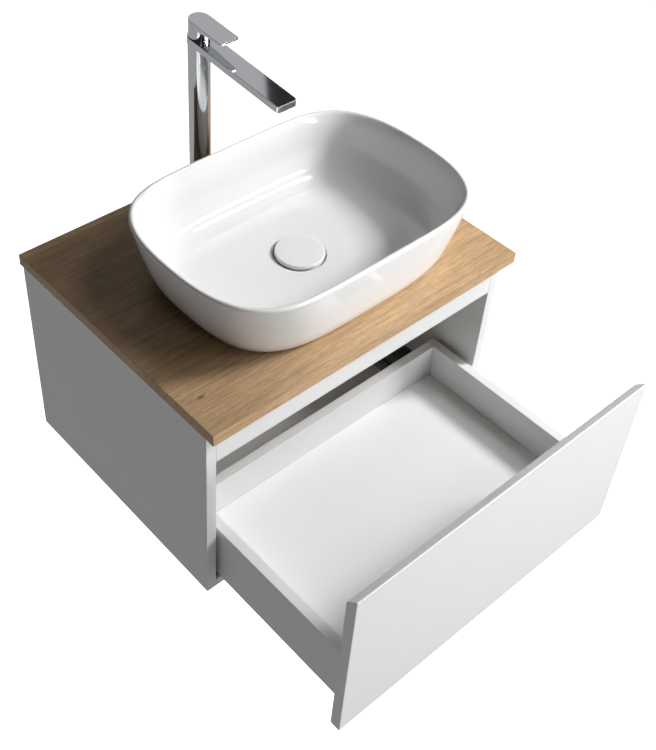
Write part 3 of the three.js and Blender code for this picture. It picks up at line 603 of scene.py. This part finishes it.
def raise_ribs(piece, low, high, every=4):
    """Draws upright grip ribs out of a round side, on half its faces between two heights."""
    hold(piece)
    bpy.ops.object.mode_set(mode="EDIT")
    reach = max(vertex.co.xy.length for vertex in piece.data.vertices) - RIB_BAND
    step = math.tau / RIB_SIDES

    def on_rib(face):
        middle = face.calc_center_median()
        number = int((math.atan2(middle.y, middle.x) + math.tau) / step)
        upright = abs(face.normal.z) < 0.1 and face.normal.xy.dot(middle.xy) > 0
        return (upright and middle.xy.length > reach and number % every < every / 2
                and low * MM < middle.z < high * MM)

    choose_parts(piece, "FACE", on_rib)
    bpy.ops.mesh.extrude_region_shrink_fatten(
        TRANSFORM_OT_shrink_fatten={"value": RIB_DEPTH * MM})
    bpy.ops.object.mode_set(mode="OBJECT")


print("bench ready, slivers under", SLIVER / MM, "mm are merged")

# %% [markdown]
# ## Boards and steel sections
# Laminated boards have a hard, thin edge band with a radius of well under a millimetre. The
# drawer front is moulded and sprayed, so its edges are rounder and catch a bright line. It has no
# handle: its top is cut back at 45 degrees for the fingers. The steel sections are folded sheet.

# %% Cabinet, drawer and steelwork
BOARD_EDGE = 0.6
FRONT_EDGE = 1.2
GRIP_LIP = 2.0 * MM
STEEL_EDGE = 0.35
TOP_EDGE = 0.25
EASED = {
    BOARD_EDGE: ["side_panel_left", "side_panel_right", "bottom_panel", "front_top_rail",
                 "hanging_rail", "lower_back_rail", "drawer_side_left", "drawer_side_right",
                 "drawer_back", "drawer_bottom", "drawer_clip_left", "drawer_clip_right"],
    TOP_EDGE: ["worktop"],
    STEEL_EDGE: [f"{part}_{side}" for side in ("left", "right") for part in
                 ("cabinet_hanger", "worktop_cleat", "runner_fixed", "runner_middle",
                  "runner_drawer")],
}
for edge, nodes in EASED.items():
    for node in nodes:
        eased_copy(node, edge, 2)


def cut_finger_grip(piece):
    """Takes the top of the drawer front off at 45 degrees, down towards the drawer."""
    corners = [Vector(corner) for corner in piece.bound_box]
    face = min(corner.y for corner in corners)
    top = max(corner.z for corner in corners)
    bpy.ops.mesh.select_all(action="SELECT")
    bpy.ops.mesh.bisect(plane_co=(0, face + GRIP_LIP, top), plane_no=(0, 1, 1), use_fill=True,
                        clear_outer=True)


eased_copy("drawer_front", FRONT_EDGE, 4, cut_finger_grip)
print(sum(len(nodes) for nodes in EASED.values()) + 1, "pieces with eased edges")

# %% [markdown]
# ## Worktop
# The board is plain, and what shows is its edge: a strip of the same oak film a millimetre thick,
# glued on three sides, with its corner taken off after gluing. Each strip is a cube drawn out to
# length, wide enough to meet the board.

# %% Worktop edging
STRIP = 1.0 * MM
STRIP_EDGE = 0.7


def edging(node, low, high):
    """One strip between two opposite corners."""
    strip = block(f"{node}_strip", high - low, (high + low) / 2)
    ease(strip, STRIP_EDGE, 3)
    return stand_for(strip, node)


board_low, board_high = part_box("worktop")
for node in ("worktop_edging_front", "worktop_edging_left", "worktop_edging_right"):
    low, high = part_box(node)
    if node.endswith("front"):
        high.y = low.y + STRIP
    elif node.endswith("left"):
        high.x = low.x + STRIP
    else:
        low.x = high.x - STRIP
    edging(node, low, high)
print("worktop", [round(v / MM) for v in board_high - board_low], "mm")

# %% [markdown]
# ## Basin
# The bowl is slip-cast: one thin wall that leans outwards from a smaller foot, rounds over a
# narrow rim and runs back down in one sweep to the drain. Seen from above its outline is a soft
# rectangle, neither an oval nor a box. A superellipse describes that: two powers say how square
# the ends and the long sides are. Each ring is extruded from the last and laid on its own
# superellipse, and a subdivision surface makes the wall flow between the rings.

# %% Basin
BASIN_SIDES = 96
FOOT = {"length": 434, "width": 311, "ends": 4.0, "sides": 2.8}
RIM_POWERS = {"ends": 5.4, "sides": 2.46}
FLARE = 1.26
WALL = 11.0
RIM_ROUND = 4.0
FOOT_ROUND = 12.0
BOWL_FLOOR = 12.0
FLOOR_RISE = 2.5
DRAIN_HOLE = 23.0
DRAIN_RECESS = 41.2
RECESS_DEPTH = 5.0
COVE_SHARE = 0.48
COVE_LEAN = 1.15
START_RADIUS = 100
basin_low, basin_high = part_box("basin")
BASIN_LENGTH, BASIN_WIDTH, BASIN_HEIGHT = (basin_high - basin_low) / MM


def between(low, high, share):
    """The value that lies at a share of the way from low to high."""
    return low + (high - low) * share


def basin_outline(share, inset, height):
    """The outer outline at a share of the height and an inset: half sizes, powers, height."""
    grow = 1 - (1 - share) ** FLARE
    return (between(FOOT["length"], BASIN_LENGTH, grow) / 2 - inset,
            between(FOOT["width"], BASIN_WIDTH, grow) / 2 - inset,
            between(FOOT["ends"], RIM_POWERS["ends"], share),
            between(FOOT["sides"], RIM_POWERS["sides"], share), height)


def round_outline(radius, height):
    """A circle as an outline."""
    return radius, radius, 2.0, 2.0, height


def outline_reach(angle, half_length, half_width, ends, sides):
    """How far the outline is from its middle in one direction, found by halving."""
    across, along = abs(math.cos(angle)) / half_length, abs(math.sin(angle)) / half_width
    low, high = 0.0, half_length + half_width
    for _ in range(40):
        middle = (low + high) / 2
        inside = (middle * across) ** ends + (middle * along) ** sides < 1
        low, high = (middle, high) if inside else (low, middle)
    return low


def lay_on(piece, outline):
    """Moves the selected ring onto an outline, each vertex along its own direction."""
    *shape, height = outline
    mesh = bmesh.from_edit_mesh(piece.data)
    for vertex in mesh.verts:
        if vertex.select:
            angle = math.atan2(vertex.co.y, vertex.co.x)
            reach = outline_reach(angle, *shape) * MM
            vertex.co = (reach * math.cos(angle), reach * math.sin(angle), height * MM)
    bmesh.update_edit_mesh(piece.data)


def basin_rings():
    """Up the outside from the drain hole, over the rim, and down the inside back to the hole."""
    height = BASIN_HEIGHT
    foot = [basin_outline(0, FOOT_ROUND * inset, FOOT_ROUND * rise)
            for inset, rise in ((1.25, 0), (1, 0), (0.62, 0.06), (0.3, 0.3), (0.1, 0.65))]
    outside = [basin_outline(share, 0, share * height)
               for share in (0.18, 0.32, 0.47, 0.62, 0.78, 0.9)]
    rim = [basin_outline(1, RIM_ROUND * inset, height - RIM_ROUND * drop) for inset, drop in
           ((0, 1.1), (0.28, 0.3), (0.9, 0), (1.5, 0.1), (2.0, 0.6), (2.35, 1.6))]
    inside = [basin_outline(share, WALL, share * height) for share in (0.85, 0.7, 0.58, COVE_SHARE)]
    cove_top = COVE_SHARE * height
    cove_depth = cove_top - BOWL_FLOOR - FLOOR_RISE
    cove = []
    for degrees in (18, 34, 50, 66, 80, 92):
        turn = math.radians(degrees)
        inset = WALL + cove_depth * COVE_LEAN * (1 - math.cos(turn))
        cove.append(basin_outline(0.3, inset, cove_top - cove_depth * math.sin(turn)))
    sunk = BOWL_FLOOR - RECESS_DEPTH
    drain = [round_outline(DRAIN_RECESS + wider, at) for wider, at in
             ((14, BOWL_FLOOR + 0.5), (1.2, BOWL_FLOOR), (0, BOWL_FLOOR - 0.9), (-0.4, sunk + 0.6),
              (-2, sunk))]
    hole = [round_outline(DRAIN_HOLE + wider, at) for wider, at in
            ((0.8, sunk), (0, sunk - 0.6), (0, 0.4), (0.4, 0.0))]
    return [*foot, *outside, *rim, *inside, *cove, *drain, *hole]


def make_basin():
    fresh()
    bpy.ops.mesh.primitive_circle_add(vertices=BASIN_SIDES, radius=START_RADIUS * MM,
                                      fill_type="NOTHING")
    basin = bpy.context.object
    basin.name = "basin_cast"
    bpy.ops.object.mode_set(mode="EDIT")
    bpy.ops.mesh.select_mode(type="EDGE")
    bpy.ops.mesh.select_all(action="SELECT")
    first, *others = basin_rings()
    lay_on(basin, first)
    for outline in others:
        bpy.ops.mesh.extrude_edges_move()
        lay_on(basin, outline)
    choose_parts(basin, "EDGE", lambda edge: edge.is_boundary)
    bpy.ops.mesh.bridge_edge_loops()
    bpy.ops.mesh.select_all(action="SELECT")
    bpy.ops.mesh.normals_make_consistent(inside=False)
    bpy.ops.object.mode_set(mode="OBJECT")
    apply_modifier(basin, "SUBSURF", levels=2, render_levels=2)
    hold(basin)
    bpy.ops.object.shade_smooth()
    middle = (basin_low + basin_high) / 2
    settle(basin, (middle.x, middle.y, basin_low.z))
    return stand_for(basin, "basin")


basin = make_basin()
print("basin", [round(v / MM, 1) for v in basin.dimensions], "mm,",
      len(basin.data.polygons), "faces")

# %% [markdown]
# ## Waste
# A ceramic button covers the drain. It is a low dome with a soft edge that stands just clear of a
# chrome flange, so a thin dark ring shows round it. Below the worktop, the waste tube is threaded
# for its nut, and the thread shows from inside the cabinet.

# %% Waste cap, body, plunger, seals and nut
CAP_EDGE = 2.4
CAP_CROWN = 0.9
FLANGE = 1.7
WASTE_TUBE = 21.0
WASTE_WALL = 3.0
THREAD_STOP = 22
SHANK_BORE = 15.8
TUBE_BORE = 21.3
SEAL_BORES = {"waste_top_seal": 24.0, "waste_washer": TUBE_BORE, "mixer_gasket": 16.5,
              "mixer_washer": SHANK_BORE}
NUTS = {"waste_backnut": (31.0, TUBE_BORE), "mixer_shank_nut": (26.0, SHANK_BORE)}


def place_of(node):
    """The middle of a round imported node, at its lowest height."""
    low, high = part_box(node)
    return Vector(((low.x + high.x) / 2, (low.y + high.y) / 2, low.z))


def size_of(node):
    """The width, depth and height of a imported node, in millimetres."""
    low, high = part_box(node)
    return (high - low) / MM


def make_cap():
    """A button with a rounded edge and a slightly domed top, closed to a point in the middle."""
    radius, height = size_of("waste_cap").x / 2, size_of("waste_cap").z
    rings = [(radius - CAP_EDGE, 0), (radius - 0.5, 0.5), (radius, CAP_EDGE)]
    for degrees in (30, 60, 90):
        turn = math.radians(degrees)
        rings.append((radius - CAP_EDGE * (1 - math.cos(turn)),
                      height - CAP_CROWN - CAP_EDGE * (1 - math.sin(turn))))
    crown_radius, crown_height = rings[-1]
    for share in (0.8, 0.6, 0.4, 0.2, 0.06):
        rings.append((crown_radius * share, crown_height + CAP_CROWN * (1 - share ** 2)))
    cap = raise_rings("waste_cap_button", rings, sides=96, pointed=True)
    smooth(cap)
    settle(cap, place_of("waste_cap"))
    return stand_for(cap, "waste_cap")


def threaded(radius, bottom, top, pitch=2.0, depth=0.8):
    """Rings up a threaded tube, one groove for each turn."""
    rings = []
    for turn in range(int((top - bottom) / pitch)):
        height = bottom + turn * pitch
        rings += [(radius - depth, height + pitch * 0.1), (radius, height + pitch * 0.45),
                  (radius, height + pitch * 0.55), (radius - depth, height + pitch)]
    return rings


def make_threaded(node, rings, sides=64, ending="threaded"):
    """A turned piece with a thread, drawn from its own lowest height."""
    piece = raise_rings(f"{node}_{ending}", rings, sides, through=True)
    smooth(piece, 50)
    settle(piece, place_of(node))
    return stand_for(piece, node)


def make_waste_body():
    height = size_of("waste_body").z
    flange_radius = size_of("waste_body").x / 2
    neck = height - FLANGE
    bore = WASTE_TUBE - WASTE_WALL
    return make_threaded("waste_body", [
        (WASTE_TUBE - 0.8, 0), *threaded(WASTE_TUBE, 0.5, neck - THREAD_STOP),
        (WASTE_TUBE, neck - THREAD_STOP + 2), (WASTE_TUBE, neck), (flange_radius - 0.5, neck),
        (flange_radius, neck + 0.8), (flange_radius - 0.6, height), (bore + 1, height),
        (bore, height - 1), (bore, 0)])


def make_round(node, rings, edge=0.3, sides=64, **ends):
    """One turned piece with its rings given from its own lowest height."""
    piece = raise_rings(f"{node}_turned", rings, sides, **ends)
    ease(piece, edge, 2)
    settle(piece, place_of(node))
    return stand_for(piece, node)


def make_nut(node, flats_radius, bore, chamfer=1.2):
    """A six-sided nut with its corners turned off."""
    height = size_of(node).z
    nut = raise_rings(f"{node}_milled", [(flats_radius, 0), (flats_radius, height)], sides=6)
    narrow, wide = flats_radius * 0.94, flats_radius * 1.01
    corner = raise_rings("corner_cutter", [(narrow, -0.1), (wide, chamfer),
                                           (wide, height - chamfer), (narrow, height + 0.1)])
    hole = raise_rings("hole_cutter", [(bore, -1), (bore, height + 1)])
    join_and_cut(nut, [("INTERSECT", corner), ("DIFFERENCE", hole)])
    ease(nut, 0.3, 2)
    settle(nut, place_of(node))
    return stand_for(nut, node)


make_cap()
make_waste_body()
plunger = size_of("waste_plunger")
make_round("waste_plunger", [(plunger.x / 2 - 1, 0), (plunger.x / 2, 1),
                             (plunger.x / 2, plunger.z)], 0.2)
for node, bore in SEAL_BORES.items():
    seal = size_of(node)
    make_round(node, pipe_rings(seal.x / 2, bore, 0, seal.z), 0.4, through=True)
for node, (flats_radius, bore) in NUTS.items():
    make_nut(node, flats_radius, bore)
print("cap", round(size_of("waste_cap").x), "mm across")

# %% [markdown]
# ## Mixer
# A tall single-lever mixer is a plain round column under a long flat spout, both cast in one. The
# spout is a plate with a round back, and it falls a few degrees to its tip so that it drains. The
# lever stands square on that plate, so both are made level about the swivel's axis and tilted
# together at the end. The column and the plate are joined as solids, then bored for the cartridge
# and the outlet, so the casting is one skin.

# %% Mixer casting
HEAD = Vector(JOINT["lever_swivel"]["pos_m"])
HEAD_AXIS = Vector(JOINT["lever_swivel"]["axis"])
HEAD_TILT = math.atan2(-HEAD_AXIS.y, HEAD_AXIS.z)
SPOUT = {"half_width": 18.0, "reach": 201.0, "thickness": 11.5, "corner": 4.0}
COLUMN_RADIUS = 17.2
COLUMN_WALL = 2.7
CARTRIDGE_DEPTH = 24.0
SEAT_RADIUS = 12.3
NUT_SEAT_RADIUS = 14.0
NUT_SEAT_DEPTH = 5.0
OUTLET_RADIUS = 10.8
OUTLET_INSET = 15.0
OUTLET_DEPTH = 5.0
OUTLET_PLACE = Vector((0, (OUTLET_INSET - SPOUT["reach"]) * MM, 0))


def tongue(name, half_width, reach, bottom, top, corner):
    """A plate with a round back about the origin and a squared tip at -Y, in millimetres."""
    size = Vector((2 * half_width, half_width + reach, top - bottom)) * MM
    middle = Vector((0, half_width - reach, top + bottom)) * MM / 2
    plate = block(name, size, middle)
    hold(plate)
    bpy.ops.object.mode_set(mode="EDIT")

    def upright(edge, back):
        a, b = (vertex.co for vertex in edge.verts)
        at_end = a.y > 0 if back else a.y < -half_width * MM
        return abs(a.z - b.z) > 0.5 * MM and at_end

    choose_parts(plate, "EDGE", lambda edge: upright(edge, True))
    bpy.ops.mesh.bevel(offset=half_width * MM * 0.9999, segments=40, affect="EDGES")
    choose_parts(plate, "EDGE", lambda edge: upright(edge, False))
    bpy.ops.mesh.bevel(offset=corner * MM, segments=10, affect="EDGES")
    bpy.ops.mesh.select_all(action="SELECT")
    bpy.ops.mesh.remove_doubles(threshold=SLIVER)
    bpy.ops.object.mode_set(mode="OBJECT")
    return plate


def cylinder(name, radius, bottom, top, place=(0, 0, 0), tilt=0.0, sides=128):
    """A plain round solid at a place, to be joined or cut away."""
    piece = raise_rings(name, [(radius, bottom), (radius, top)], sides)
    settle(piece, place, tilt)
    return piece


def make_mixer_body():
    """The spout and the column in one, bored for the water, the cartridge and the outlet."""
    face = SPOUT["thickness"] / 2
    spout = tongue("mixer_casting", SPOUT["half_width"], SPOUT["reach"], -face, face,
                   SPOUT["corner"])
    ease(spout, 0.7, 3)
    settle(spout, HEAD, HEAD_TILT)
    low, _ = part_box("mixer_body")
    foot = (low.z - HEAD.z) / MM
    column = cylinder("column", COLUMN_RADIUS, foot, 0, HEAD)
    seat_floor = face - CARTRIDGE_DEPTH
    outlet = HEAD + Matrix.Rotation(HEAD_TILT, 3, "X") @ OUTLET_PLACE
    tools = [
        ("UNION", column),
        ("DIFFERENCE", cylinder("waterway", COLUMN_RADIUS - COLUMN_WALL, foot - 1,
                                seat_floor - COLUMN_WALL, HEAD)),
        ("DIFFERENCE", cylinder("seat", SEAT_RADIUS, seat_floor, face + 1, HEAD, HEAD_TILT)),
        ("DIFFERENCE", cylinder("nut_seat", NUT_SEAT_RADIUS, face - NUT_SEAT_DEPTH, face + 1,
                                HEAD, HEAD_TILT)),
        ("DIFFERENCE", cylinder("outlet", OUTLET_RADIUS, -face - 1, OUTLET_DEPTH - face, outlet,
                                HEAD_TILT)),
    ]
    join_and_cut(spout, tools)
    return stand_for(spout, "mixer_body")


casting = make_mixer_body()
print("mixer casting", [round(v / MM) for v in casting.dimensions], "mm,",
      len(casting.data.polygons), "faces")

# %% [markdown]
# ## Lever, cartridge and foot of the mixer
# The lever is a hub with a flat paddle over it. The hub turns for temperature. The paddle is a
# plate of the same outline as the spout, tapered underneath to a thin tip, and it tips up on a
# cross pin inside the hub. Behind, the hub is cut away at a slope to give the paddle's round back
# room.

# %% Lever hub, paddle and the mixer's small pieces
LEVER = {"hub_radius": 16.7, "hub_bore": 14.4, "hub_height": 19.0, "hub_lift": 0.8, "gap": 0.7,
         "paddle": 8.0, "tip": 3.2, "half_width": 17.2, "reach": 70.0, "corner": 3.0,
         "pivot_back": 8.0, "pivot_drop": 3.0, "relief": 24.0, "relief_lead": 3.0,
         "lug_width": 8.0, "lug": 6.4, "pin_bore": 2.0}
HUB_BOTTOM = SPOUT["thickness"] / 2 + LEVER["hub_lift"]


def slice_off(piece, point, away):
    """Cuts a piece by a plane through point and throws away the side that away looks to."""
    hold(piece)
    bpy.ops.object.mode_set(mode="EDIT")
    bpy.ops.mesh.select_all(action="SELECT")
    bpy.ops.mesh.bisect(plane_co=Vector(point) * MM, plane_no=away, use_fill=True, clear_outer=True)
    bpy.ops.object.mode_set(mode="OBJECT")


def in_head(piece, height=0.0):
    """Tilts a piece with the spout and lifts it along the swivel's axis, in millimetres."""
    settle(piece, HEAD + HEAD_AXIS.normalized() * height * MM, HEAD_TILT)


def make_hub():
    hub = raise_rings("lever_hub_turned", pipe_rings(LEVER["hub_radius"], LEVER["hub_bore"], 0,
                                                     LEVER["hub_height"]), 128, through=True)
    slope = math.radians(LEVER["relief"])
    slice_off(hub, (0, LEVER["pivot_back"] - LEVER["relief_lead"], LEVER["hub_height"]),
              (0, math.sin(slope), math.cos(slope)))
    ease(hub, 0.35, 2)
    in_head(hub, HUB_BOTTOM)
    return stand_for(hub, "lever_hub")


def make_paddle():
    """The lever's plate with its tapered underside, and the bored lug that holds it to the pin."""
    under = LEVER["hub_height"] + LEVER["gap"]
    paddle = tongue("lever_paddle_plate", LEVER["half_width"], LEVER["reach"], under,
                    under + LEVER["paddle"], LEVER["corner"])
    slope = math.atan2(LEVER["paddle"] - LEVER["tip"], LEVER["reach"] - LEVER["hub_radius"])
    slice_off(paddle, (0, -LEVER["hub_radius"], under), (0, -math.sin(slope), -math.cos(slope)))
    pivot = LEVER["hub_height"] - LEVER["pivot_drop"]
    lug_height = under - pivot + LEVER["lug"] / 2
    size = Vector((LEVER["lug_width"], LEVER["lug"], lug_height)) * MM
    middle = Vector((0, LEVER["pivot_back"], under - lug_height / 2)) * MM
    lug = block("lever_lug", size, middle)
    bpy.ops.mesh.primitive_cylinder_add(vertices=32, radius=LEVER["pin_bore"] * MM,
                                        depth=2 * LEVER["lug_width"] * MM,
                                        location=(0, LEVER["pivot_back"] * MM, pivot * MM),
                                        rotation=(0, math.pi / 2, 0))
    join_and_cut(lug, [("DIFFERENCE", bpy.context.object)])
    hold(paddle)
    lug.select_set(True)
    bpy.ops.object.join()
    ease(paddle, 0.6, 3)
    in_head(paddle, HUB_BOTTOM)
    return stand_for(paddle, "lever_paddle")


make_hub()
make_paddle()
base_size = size_of("mixer_base_ring")
make_round("mixer_base_ring", [(base_size.x / 2, 0), (base_size.x / 2, base_size.z - 2),
                               (base_size.x / 2 - 2, base_size.z), (SHANK_BORE, base_size.z),
                               (SHANK_BORE, 0)],
           0.5, 96, through=True)
print("the spout falls", round(math.degrees(HEAD_TILT), 1), "degrees to its tip")

# %% [markdown]
# ## Inside the mixer and under it
# Most of these pieces hide in the casting or below the worktop, but they show when the lever
# lifts or from underneath. The shank is threaded for its nut, the two inlets end in threaded
# unions, and the outlet holds a plastic aerator with a dished face round its nozzle.

# %% Mixer fittings
STEM = {"radius": 3.5, "length": 13.2}
PIN_RADIUS = 1.6
PIN_LENGTH = 20.8
PLUG_HEIGHT = 11.4
PLUG_SEAT = 2.0
FIT_GAP = 0.3
INLET = {"union": 6.35, "union_length": 13.0, "pipe": 5.0, "bore": 3.5}


def finish_piece(piece, node, edge):
    """Rounds the edges of a piece that is already in its place, and hands it over."""
    ease(piece, edge, 2)
    return stand_for(piece, node)


def make_shank():
    height = size_of("mixer_shank").z
    return make_threaded("mixer_shank", [
        (14.8, 0), *threaded(15.5, 0.4, 34, 1.8, 0.7), (15.5, 34.5), (15.5, height - 0.5),
        (15.1, height), (13.0, height), (13.0, 0)])


def make_inlet(node):
    """A copper pipe that ends in a threaded union."""
    height = size_of(node).z
    union, union_top, pipe, bore = (INLET[key] for key in ("union", "union_length", "pipe", "bore"))
    return make_threaded(node, [
        (5.6, 0), *threaded(union, 0.4, 8.5, 1.3, 0.5), (union, 9.2), (union, union_top),
        (pipe, union_top + 0.6), (pipe, height), (bore, height), (bore, 0)], 48, "turned")


def in_spout(name, node, rings, lift, edge, place=(0, 0, 0), lean=0.0, sides=64, through=False):
    """A round piece made level about the swivel's axis, then tilted and lifted with the spout."""
    piece = raise_rings(name, rings, sides, through=through)
    settle(piece, place, lean=lean)
    in_head(piece, lift)
    finish_piece(piece, node, edge)


def make_head_fittings():
    """The pieces that stand square on the sloping spout."""
    face = SPOUT["thickness"] / 2
    dish = [(10.5, 0), (10.5, 4.7), (3, 4.7), (3, 2.6), (7.6, 1.6), (8.4, 0)]
    in_spout("mixer_aerator_moulded", "mixer_aerator", dish, -face, 0.25, OUTLET_PLACE,
             through=True)
    barrel = [(11.2, 0), (12, 0.8), (12, 21), (11.2, 21.6), (11.2, 27.7)]
    in_spout("mixer_cartridge_moulded", "mixer_cartridge", barrel,
             face - CARTRIDGE_DEPTH + FIT_GAP, 0.3)
    in_spout("cartridge_nut_turned", "cartridge_nut", pipe_rings(13.7, 12.3, 0, 7.7),
             face - NUT_SEAT_DEPTH + FIT_GAP, 0.25, through=True)
    stem = [(STEM["radius"], 0), (STEM["radius"], STEM["length"])]
    stem_bottom = LEVER["hub_height"] + LEVER["gap"] - STEM["length"] - FIT_GAP
    in_spout("lever_stem_turned", "lever_stem", stem, HUB_BOTTOM + stem_bottom, 0.4, sides=48)
    pin = [(PIN_RADIUS, -PIN_LENGTH / 2), (PIN_RADIUS, PIN_LENGTH / 2)]
    pivot = Vector((0, LEVER["pivot_back"], LEVER["hub_height"] - LEVER["pivot_drop"]))
    in_spout("lever_pin_turned", "lever_pivot_pin", pin, HUB_BOTTOM, 0.3, pivot * MM,
             math.pi / 2, 32)
    plug = [(3, 0), (3, 1.0), (2.4, 1.4), (1.2, 1.62)]
    seat = Vector((PLUG_SEAT - FIT_GAP - LEVER["hub_radius"], 0, PLUG_HEIGHT))
    in_spout("lever_plug_moulded", "lever_plug", plug, HUB_BOTTOM, 0.15, seat * MM,
             -math.pi / 2, 32)


make_shank()
make_inlet("mixer_inlet_hot")
make_inlet("mixer_inlet_cold")
make_head_fittings()
print("shank", round(size_of("mixer_shank").z, 1), "mm long")

# %% [markdown]
# ## Trap
# A white plastic bottle trap hangs under the waste. Its inlet pipe is drawn as a ring of edges,
# pulled down, spun round a quarter bend, pulled back to the wall and spun down again, and then
# given a wall. The bottle is a turned barrel with a side branch joined to it. The nuts and the
# cup are turned by hand, so they have grip ribs.

# %% Trap and drawer buffers
BEND = 26.0
PIPE_RADIUS = 16.0
PIPE_WALL = 2.0
BEND_STEPS = 14
RUN_HEIGHT = 37.7
DOWN_TO_Y = math.pi / 2
BOTTLE_RADIUS = 27.0
BOTTLE_BORE = 24.5
BRANCH_HEIGHT = 58.0
PIPE_GRIP = 16.3


def make_inlet_pipe():
    """One bent pipe: down from the waste, level to the wall side and down into the bottle."""
    low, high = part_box("trap_inlet_pipe")
    middle = (low.x + high.x) / 2
    start = low.y + PIPE_RADIUS * MM
    end = high.y - PIPE_RADIUS * MM
    run = low.z + RUN_HEIGHT * MM
    fresh()
    bpy.ops.mesh.primitive_circle_add(vertices=48, radius=PIPE_RADIUS * MM,
                                      location=(middle, start, high.z))
    pipe = bpy.context.object
    pipe.name = "trap_inlet_pipe_bent"
    bpy.ops.object.transform_apply(location=True)
    bpy.ops.object.mode_set(mode="EDIT")
    bpy.ops.mesh.select_mode(type="EDGE")
    bpy.ops.mesh.select_all(action="SELECT")

    def pull(x, y, z):
        bpy.ops.mesh.extrude_edges_move(TRANSFORM_OT_translate={"value": (x, y, z)})

    def bend(angle, y, z):
        bpy.ops.mesh.spin(steps=BEND_STEPS, angle=angle, center=(middle, y, z), axis=(1, 0, 0))

    pull(0, 0, run + BEND * MM - high.z)
    bend(-DOWN_TO_Y, start + BEND * MM, run + BEND * MM)
    pull(0, end - start - 2 * BEND * MM, 0)
    bend(DOWN_TO_Y, end - BEND * MM, run - BEND * MM)
    pull(0, 0, low.z - run + BEND * MM)
    bpy.ops.mesh.select_all(action="SELECT")
    bpy.ops.mesh.remove_doubles(threshold=SLIVER)
    bpy.ops.mesh.normals_make_consistent(inside=False)
    bpy.ops.object.mode_set(mode="OBJECT")
    apply_modifier(pipe, "SOLIDIFY", thickness=PIPE_WALL * MM, offset=-1)
    ease(pipe, 0.4, 2)
    return stand_for(pipe, "trap_inlet_pipe")


def make_bottle():
    """A hollow barrel, open below for its cup and above for the pipe, with a branch to the wall."""
    low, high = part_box("trap_bottle")
    barrel_at = Vector(((low.x + high.x) / 2, low.y + BOTTLE_RADIUS * MM, low.z))
    branch_at = barrel_at + Vector((0, 0, BRANCH_HEIGHT * MM))
    bottle = raise_rings("trap_bottle_moulded", [(BOTTLE_RADIUS, 0), (BOTTLE_RADIUS, 78),
                                                 (25.2, 82), (20.5, 84)], 96)
    settle(bottle, barrel_at)
    reach = (high.y - branch_at.y) / MM
    inner = PIPE_RADIUS - PIPE_WALL
    tools = [
        ("UNION", cylinder("branch", PIPE_RADIUS, 0, reach, branch_at, -math.pi / 2, 64)),
        ("DIFFERENCE", cylinder("bore", inner, 0, reach + 1, branch_at, -math.pi / 2, 64)),
        ("DIFFERENCE", cylinder("chamber", BOTTLE_BORE, -1, 80, barrel_at, sides=96)),
        ("DIFFERENCE", cylinder("mouth", inner, 79, 86, barrel_at, sides=64)),
    ]
    join_and_cut(bottle, tools)
    return stand_for(bottle, "trap_bottle")


def make_grip(node, rings, ribs, edge=0.3, through=True):
    """A hand-tightened nut or cup: turned rings, then ribs between two heights."""
    piece = raise_rings(f"{node}_moulded", rings, RIB_SIDES, through=through)
    raise_ribs(piece, *ribs)
    ease(piece, edge, 1)
    settle(piece, place_of(node))
    return stand_for(piece, node)


make_inlet_pipe()
make_bottle()
make_grip("trap_inlet_nut", [(25, 0), (26, 1.5), (26, 4), (26, 24), (26, 26.5), (25, 28),
                             (TUBE_BORE, 28), (TUBE_BORE, 13.7), (PIPE_GRIP, 13.4),
                             (PIPE_GRIP, 0)], (4, 24))
make_grip("trap_bottle_nut", [(20.4, 0), (21, 0.8), (21, 2), (21, 8), (20, 9.7), (PIPE_GRIP, 9.7),
                              (PIPE_GRIP, 0)], (2, 8))
make_grip("trap_cleanout_cup", [(20, 0), (27, 0.8), (29, 2.6), (29, 6), (29, 23), (28.6, 26),
                                (27.3, 26), (27.3, 12.7), (BOTTLE_BORE, 12.7), (BOTTLE_BORE, 3)],
          (6, 23), through=False)
wall_low, wall_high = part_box("trap_outlet_pipe")
wall_end = Vector(((wall_low.x + wall_high.x) / 2, wall_high.y, (wall_low.z + wall_high.z) / 2))
outlet = raise_rings("trap_outlet_cut", pipe_rings(PIPE_RADIUS, PIPE_RADIUS - PIPE_WALL, 0, 16.7),
                     through=True)
settle(outlet, wall_end, tilt=math.pi / 2)
finish_piece(outlet, "trap_outlet_pipe", 0.3)
rosette = raise_rings("trap_rosette_pressed", [
    (34, 0), (34, 0.7), (32.6, 1.7), (28, 2.5), (22, 2.9), (17, 3), (PIPE_GRIP, 2.6),
    (PIPE_GRIP, 0)], 96, through=True)
settle(rosette, wall_end, tilt=math.pi / 2)
smooth(rosette, 50)
stand_for(rosette, "trap_wall_rosette")
dome = [(5, 0), (5, 0.9), (4.4, 1.6), (3, 1.95), (1.2, 2)]
for side in ("left", "right"):
    low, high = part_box(f"drawer_buffer_{side}")
    pad = raise_rings(f"drawer_buffer_{side}_moulded", dome, 48)
    settle(pad, ((low.x + high.x) / 2, low.y, (low.z + high.z) / 2), tilt=-math.pi / 2)
    smooth(pad, 50)
    stand_for(pad, f"drawer_buffer_{side}")
print("trap pieces:", len([node for node in frame["nodes"] if node.startswith("trap")]))
